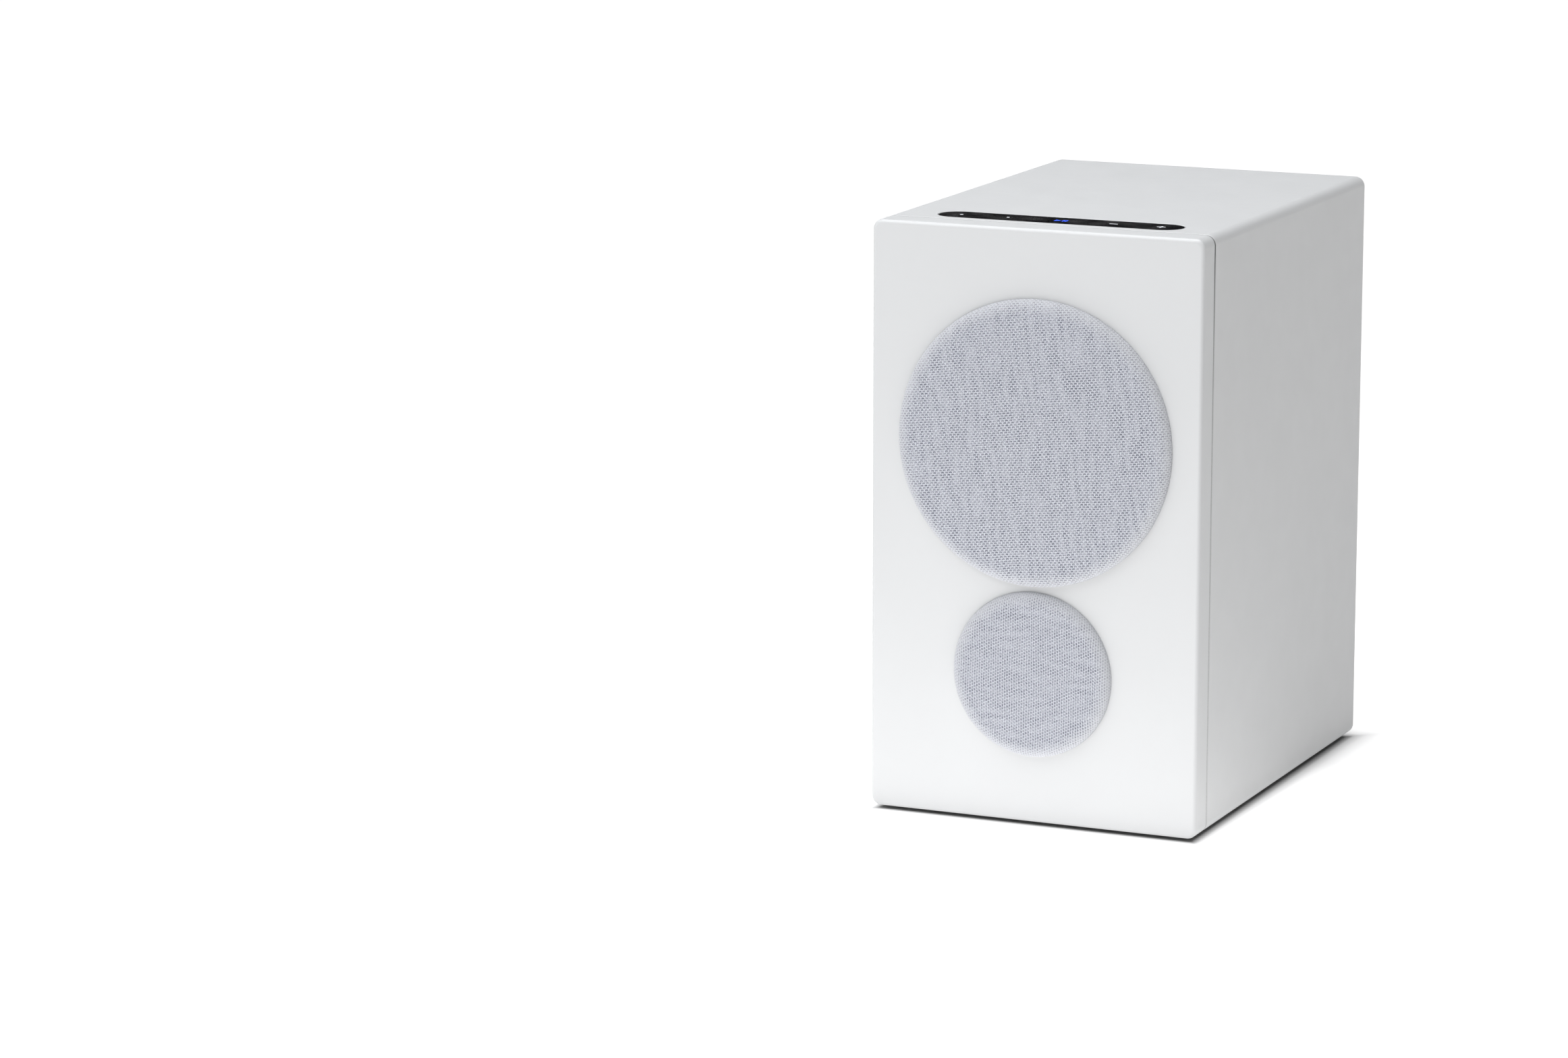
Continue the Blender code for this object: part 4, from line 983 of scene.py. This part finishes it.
def build_heatsink():
    fins = 18
    width = 100
    fin = 2
    pitch = (width - fin) / (fins - 1)
    front = PLATE_BACK + 0.3
    base = front + 2
    tip = base + 5.5
    outline = [(-width / 2, front), (width / 2, front)]
    for number in range(fins):
        right = width / 2 - pitch * number
        outline += [(right, tip), (right - fin, tip)]
        if number < fins - 1:
            outline += [(right - fin, base), (right - pitch, base)]
    outline = softened(outline, 0.6, steps=4)
    loops = [level(outline, height) for height in (66, 110)]
    sink = piece("finned_sink", "black_aluminium", ["heatsink"], (0, 0, 0), [loops])
    soften_edges(sink, 0.2, 60)
    even_shading(sink)


def build_sockets():
    for name, slot, (across, height) in (
        ("left", "pale_plastic", LEFT_SOCKET_AT), ("right", "socket_red", RIGHT_SOCKET_AT),
    ):
        for part, finish, ring, soft, profile in (
            ("collar", slot, True, 0.4, [(4.2, 0.3), (6, 0.3), (6, 1.9), (4.2, 1.9)]),
            ("sleeve", "zinc_steel", True, 0.25, [(3.4, -9.5), (4.1, -9.5), (4.1, 8.7), (3.4, 8.7)]),
            ("core", slot, False, 0.3,
             [(0, -10), (3.35, -10), (3.35, 7.9), (1.7, 7.9), (1.7, 0.5), (0, 0.5)]),
            ("contact", "zinc_steel", True, 0.1, [(1.35, 0.6), (1.68, 0.6), (1.68, 7.2), (1.35, 7.2)]),
        ):
            turned_piece(f"{name}_socket_{part}", finish, f"audio_socket_{name}", height, profile, ring, soft,
                         across=across, base=PLATE_BACK, count=MEDIUM)


def oblongs(*sizes):
    """Rounded rectangles as (width, height, radius, distance behind the plate's back face)."""
    return [upright(rounded_rectangle(*size), PLATE_BACK + depth) for *size, depth in sizes]


def twin_round(half_spacing, radius, behind_plate, steps=20):
    """The outline of two circles that overlap, side by side."""
    open_angle = acos(-half_spacing / radius)
    points = []
    for side in (1, -1):
        for step in range(steps + 1):
            angle = open_angle * (2 * step / steps - 1)
            points.append((side * (half_spacing + radius * cos(angle)), side * radius * sin(angle)))
    return upright(points, PLATE_BACK + behind_plate)


def build_inlet():
    at = (INLET_AT[0], 0, INLET_AT[1])
    inlet = piece("mains_inlet", "black_plastic", ["power_inlet"], at, [oblongs(
        (25, 17, 1, -18), (25, 17, 1, 0.3), (31, 23, 3, 0.3), (31, 23, 3, 1.5), (30.6, 22.6, 2.8, 2.1),
        (29.6, 21.6, 2.4, 2.4),
    )])
    half_spacing = 4.3
    cut(inlet, [[twin_round(half_spacing, 4.7, 5), twin_round(half_spacing, 4.7, -13)]], soften=0.25)
    pin = [(1.2, -14), (1.2, -2.7), (1.05, -2.3), (0.6, -2.0)]
    pins = [
        [upright(circle(r, SMALL), PLATE_BACK + depth, side * half_spacing) for r, depth in pin]
        for side in (-1, 1)
    ]
    piece("inlet_pins", "zinc_steel", ["power_inlet"], at, pins)


def build_rocker():
    at = (ROCKER_AT[0], 0, ROCKER_AT[1])
    housing = piece("rocker_bezel", "black_plastic", ["rocker_housing"], at, [oblongs(
        (14.4, 20.4, 0.8, -12), (14.4, 20.4, 0.8, 0.3), (18, 25, 2, 0.3), (18, 25, 2, 1.4),
        (17.6, 24.6, 1.8, 1.85), (17, 24, 1.6, 2), (11.8, 19, 0.6, 2), (11.6, 18.8, 0.5, 1.8),
        (11.6, 18.8, 0.5, -7),
    )])

    def pivot(radius, half_length):
        outline = circle(radius, SMALL)
        return [[Vector((x, PLATE_BACK + d, up)) for d, up in outline] for x in (-half_length, half_length)]

    cut(housing, [pivot(1.3, 6.8)])
    tilt = Matrix.Rotation(radians(-8), 3, "X")
    base = Vector((0, PLATE_BACK, 0))
    half_height = 8.6

    def face(up):
        """How far the pressed face stands out, at this height from the pivot."""
        return 0.8 + 1.6 * (abs(up) / half_height) ** 1.6

    side = [(face(up), up) for up in [half_height * (1 - step / 16) for step in range(33)]]
    side += [(-1.2, -half_height), (-3.4, -4.6), (-5, 0), (-3.4, 4.6), (-1.2, half_height)]
    side = softened(side, 0.4, steps=4)
    loops = []
    for x, size in ((-5.5, 0.965), (-5.35, 0.99), (-5.1, 1), (5.1, 1), (5.35, 0.99), (5.5, 0.965)):
        loops.append([base + tilt @ Vector((x, d * size, up * size)) for d, up in side])
    piece("rocker_key", "black_plastic", ["power_rocker"], at, [loops, pivot(1, 6.5)], body="power_switch")
    sunk, proud = -0.05, 0.06
    bar = rounded_rectangle(0.7, 3.4, 0.3, 3)
    outer, inner = circle(1.6, SMALL), circle(1.2, SMALL)

    def laid(outline, up, lean, depth):
        """This outline on the face, at this height from the pivot and this far out of the face."""
        slope = tilt @ Matrix.Rotation(radians(lean), 3, "X")
        centre = base + tilt @ Vector((0, face(up), up))
        return [centre + slope @ Vector((u, depth, v)) for u, v in outline]

    on_bar = [laid(bar, 5, -12.5, depth) for depth in (sunk, proud)]
    piece("mark_on", "pale_plastic", (), at, [on_bar], body="power_switch", finish="rocker_print")
    off_ring = [laid(outline, -5, 12.5, depth) for outline, depth in
                ((outer, sunk), (outer, proud), (inner, proud), (inner, sunk))]
    piece("mark_off", "pale_plastic", (), at, rings=[off_ring], body="power_switch", finish="rocker_print")


def build_small_controls():
    back = PANEL_BACK - PLATE_BACK
    turned_piece(
        "pairing_cap", "black_plastic", "pairing_button", BUTTON_AT[1],
        [(0, back - 8), (3, back - 8), (3, back - 2), (6, back - 2), (6, back), (4, back), (4, 1.5)]
        + [(3.6, 1.75), (2.4, 1.6), (0, 1.45)],
        False, body="pairing_key", across=BUTTON_AT[0], base=PLATE_BACK, count=MEDIUM,
    )
    base = rounded_rectangle(17, 7, 0.8)
    nub = rounded_rectangle(3, 3, 0.4, 4)
    tip = rounded_rectangle(2.7, 2.7, 0.4, 4)
    ridge = rounded_rectangle(0.45, 2.4, 0.15, 2)
    lofts = [through(base, PANEL_BACK - 1.5, PANEL_BACK)]
    knob = ((nub, PANEL_BACK - 0.5), (nub, PLATE_BACK + 1), (tip, PLATE_BACK + 1.2))
    lofts.append([upright(outline, depth) for outline, depth in knob])
    lofts += [through(ridge, PLATE_BACK + 1, PLATE_BACK + 1.5, across) for across in (-0.9, 0, 0.9)]
    at = (SWITCH_AT[0] - SWITCH_TRAVEL / 2, 0, SWITCH_AT[1])
    piece("channel_slider", "pale_plastic", ["channel_switch"], at, lofts, body="channel_selector")


def build_rear_marks():
    """Thin printed lines that frame the controls."""
    sunk = PLATE_BACK - 0.05
    proud = PLATE_BACK + 0.04
    line = 0.3
    rings = []
    for (across, height), radius in ((LEFT_SOCKET_AT, 7.6), (RIGHT_SOCKET_AT, 7.6), (BUTTON_AT, 6)):
        outer, inner = circle(radius, MEDIUM), circle(radius - line, MEDIUM)
        rings.append([upright(outline, depth, across, height) for outline, depth in
                      ((outer, sunk), (outer, proud), (inner, proud), (inner, sunk))])
    dash = rounded_rectangle(0.35, 2.4, 0.15, 2)
    across, height = SWITCH_AT
    lofts = [through(dash, sunk, proud, across + side * SWITCH_TRAVEL / 2, height + 4.6) for side in (-1, 1)]
    piece("plate_print", "pale_plastic", (), (0, 0, 0), lofts, rings)


# Underside and inside


def build_feet():
    profile = [(0, -2), (5.6, -2), (6.2, -1.85), (7, -1.5), (7.5, -0.9), (7.5, -0.3), (0, -0.3)]
    profile = softened(profile, 0.3, False)
    mesh = mesh_of("rubber_foot", [[level(circle(max(r, AXIS_RADIUS), MEDIUM), up) for r, up in profile]])
    for row, depth in (("front", 36.3), ("rear", 228)):
        for side, across in (("left", -67.5), ("right", 67.5)):
            place(f"rubber_foot_{row}_{side}", mesh, "foot_rubber", [f"foot_{row}_{side}"],
                  (across, depth, 0))


def build_wadding():
    """A lumpy pad of fibre lying on the cabinet's floor."""
    low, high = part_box("damping_wadding")
    centre = (low + high) / 2
    half = (high - low) / 2 / MM
    squareness = 5
    lump_size, lump_depth = 14, 0.9
    tuft_size, tuft_depth = 3, 0.35
    most = 3
    bm = bmesh.new()
    bmesh.ops.create_icosphere(bm, subdivisions=6, radius=1)
    for vertex in bm.verts:
        reach = sum(abs(c) ** squareness for c in vertex.co) ** (1 / squareness)
        boxy = vertex.co / reach
        spot = Vector([c * h for c, h in zip(boxy, half)])
        lump = noise.fractal(spot / lump_size, 1.0, 2.0, 4)
        tuft = noise.noise(spot / tuft_size)
        sink = 1 + lump_depth * lump + tuft_depth * tuft
        vertex.co = (spot - vertex.co.normalized() * max(0.0, min(sink, most))) * MM
    mesh = mesh_from(bm, "fibre_pad")
    mesh.shade_smooth()
    pad = place("fibre_pad", mesh, "wadding", ["damping_wadding"],
                (centre.x / MM, behind(centre.y), above(centre.z)))


# Touch strip


def build_touch_strip():
    top = above(STRIP_HIGH.z)
    edge = 0.3
    loops = [level(stadium(STRIP_LENGTH, STRIP_WIDTH), above(STRIP_LOW.z))]
    for c, s in quarter(4):
        inset = edge * (1 - c)
        outline = stadium(STRIP_LENGTH - 2 * inset, STRIP_WIDTH - 2 * inset)
        loops.append(level(outline, top - edge * (1 - s)))
    even_shading(piece("touch_window", "touch_gloss", ["touch_strip"], (0, STRIP_DEPTH, 0), [loops]))
    sunk, proud = top - 0.02, top + 0.04

    def symbol(name, across, shapes, colour="white"):
        lofts = [[level(shape, height) for height in (sunk, proud)] for shape in shapes]
        piece(f"symbol_{name}", "touch_gloss", (), (across, STRIP_DEPTH, 0), lofts, finish=f"symbol_{colour}")

    def bar(width, height, across=0.0):
        return [(u + across, v) for u, v in rounded_rectangle(width, height, 0.18, 3)]

    triangle = [(-2.9, -2), (0.3, 0), (-2.9, 2)]
    symbol("source", -53, [circle(0.9, SMALL)])
    symbol("link", -28, [circle(0.75, SMALL)])
    symbol("play_pause", 0, [triangle, bar(0.9, 4, 1.5), bar(0.9, 4, 3)], "blue")
    symbol("quieter", 28, [bar(4.4, 0.85)])
    symbol("louder", 53, [cross(2.2, 0.4)])


# Studio


def build_stage():
    """A pale floor that glows, with a bright pool before the speaker and a soft shadow round its foot."""
    bm = bmesh.new()
    bmesh.ops.create_circle(bm, cap_ends=True, segments=96, radius=40)
    floor = new_object("studio_floor", mesh_from(bm, "studio_floor"))
    finish = Finish("studio_floor", (0.42, 0.42, 0.42), 0.9)
    finish.shade(finish.noise(600, 2), 0.99, 1.01)
    distance = finish.node("VectorMath", {0: finish.place, 1: POOL_CENTRE}, operation="DISTANCE")
    ramp_length = 4
    share = finish.math("DIVIDE", distance.outputs["Value"], ramp_length)
    stops = [(0.18, FLOOR_POOL), (0.36, FLOOR_MID), (1.3, FLOOR_MID), (2.6, FLOOR_FAR)]
    glow = add_ramp(finish.tree, share, [(metres / ramp_length, grey) for metres, grey in stops])
    x, y = finish.along(0), finish.along(1)
    beside = finish.math("SUBTRACT", finish.math("ABSOLUTE", x), SHELL_HIGH.x)
    before = finish.math("SUBTRACT", FRONT_Y, y)
    beyond = finish.math("SUBTRACT", y, SHELL_HIGH.y)
    clear = finish.math("MAXIMUM", beside, finish.math("MAXIMUM", before, beyond))
    reach = finish.span(clear, -UNDER_REACH * MM, CONTACT_REACH * MM)
    shadow = add_ramp(finish.tree, reach, [(0, 0), (0.2, 0.36), (0.45, 0.72), (0.7, 0.9), (1, 1)])
    finish.set(Emission_Color=glow, Emission_Strength=shadow)
    floor.data.materials.append(finish.material)


def area_light(name, place_at, size, power, colour):
    """A square light aimed at the speaker's middle."""
    data = bpy.data.lights.new(name, "AREA")
    data.size = size
    data.energy = power
    data.color = colour
    lamp = new_object(name, data)
    lamp.location = place_at
    lamp.rotation_euler = (LIGHTS_AIM_AT - Vector(place_at)).to_track_quat("-Z", "Y").to_euler()


def build_world():
    """A dark room with a pale band low down, where the floor meets it."""
    world = bpy.data.worlds.new("studio")
    world.use_nodes = True
    tree = world.node_tree
    direction = add_node(tree, "TexCoord", {}).outputs["Generated"]
    height = add_node(tree, "SeparateXYZ", {0: direction}).outputs["Z"]
    glow = add_ramp(tree, height, [(0.0, 1.0), (0.10, 1.0), (0.13, 0.0), (1.0, 0.0)])
    feed(tree, tree.nodes["Background"].inputs["Color"], glow)
    bpy.context.scene.world = world


def build_lights():
    build_world()
    area_light("top_softbox", (0, 0.1, 2.0), 0.6, TOP_POWER, (0.98, 0.99, 1))
    area_light("overhead_softbox", (-0.35, -0.75, 1.7), 1.6, OVERHEAD_POWER, (0.965, 0.98, 1))
    bpy.context.scene.view_settings.view_transform = "Standard"


def build_camera():
    azimuth, elevation = CAMERA_AZIMUTH, CAMERA_ELEVATION
    back = Vector((sin(azimuth) * cos(elevation), -cos(azimuth) * cos(elevation), sin(elevation)))
    turn = (-back).to_track_quat("-Z", "Y")
    right = turn @ Vector((1, 0, 0))
    up = turn @ Vector((0, 1, 0))
    target = Vector((0, FRONT_Y + AIM_BEHIND_FRONT, BASE_Z + MIDDLE * MM))
    data = bpy.data.cameras.new("camera")
    data.lens = LENS_MM
    data.clip_end = 200
    camera = new_object("camera", data)
    camera.location = target + back * CAMERA_DISTANCE - right * SPEAKER_RIGHT_OF_CENTRE
    camera.location -= up * SPEAKER_ABOVE_CENTRE
    camera.rotation_euler = turn.to_euler()
    bpy.context.scene.camera = camera


build_camera()
build_stage()
build_lights()
build_cabinet()
build_baffle()
build_seal()
build_grilles()
build_woofer()
build_tweeter()
build_rear_panel()
build_port()
build_amp_plate()
build_heatsink()
build_sockets()
build_inlet()
build_rocker()
build_small_controls()
build_rear_marks()
build_feet()
build_wadding()
build_touch_strip()
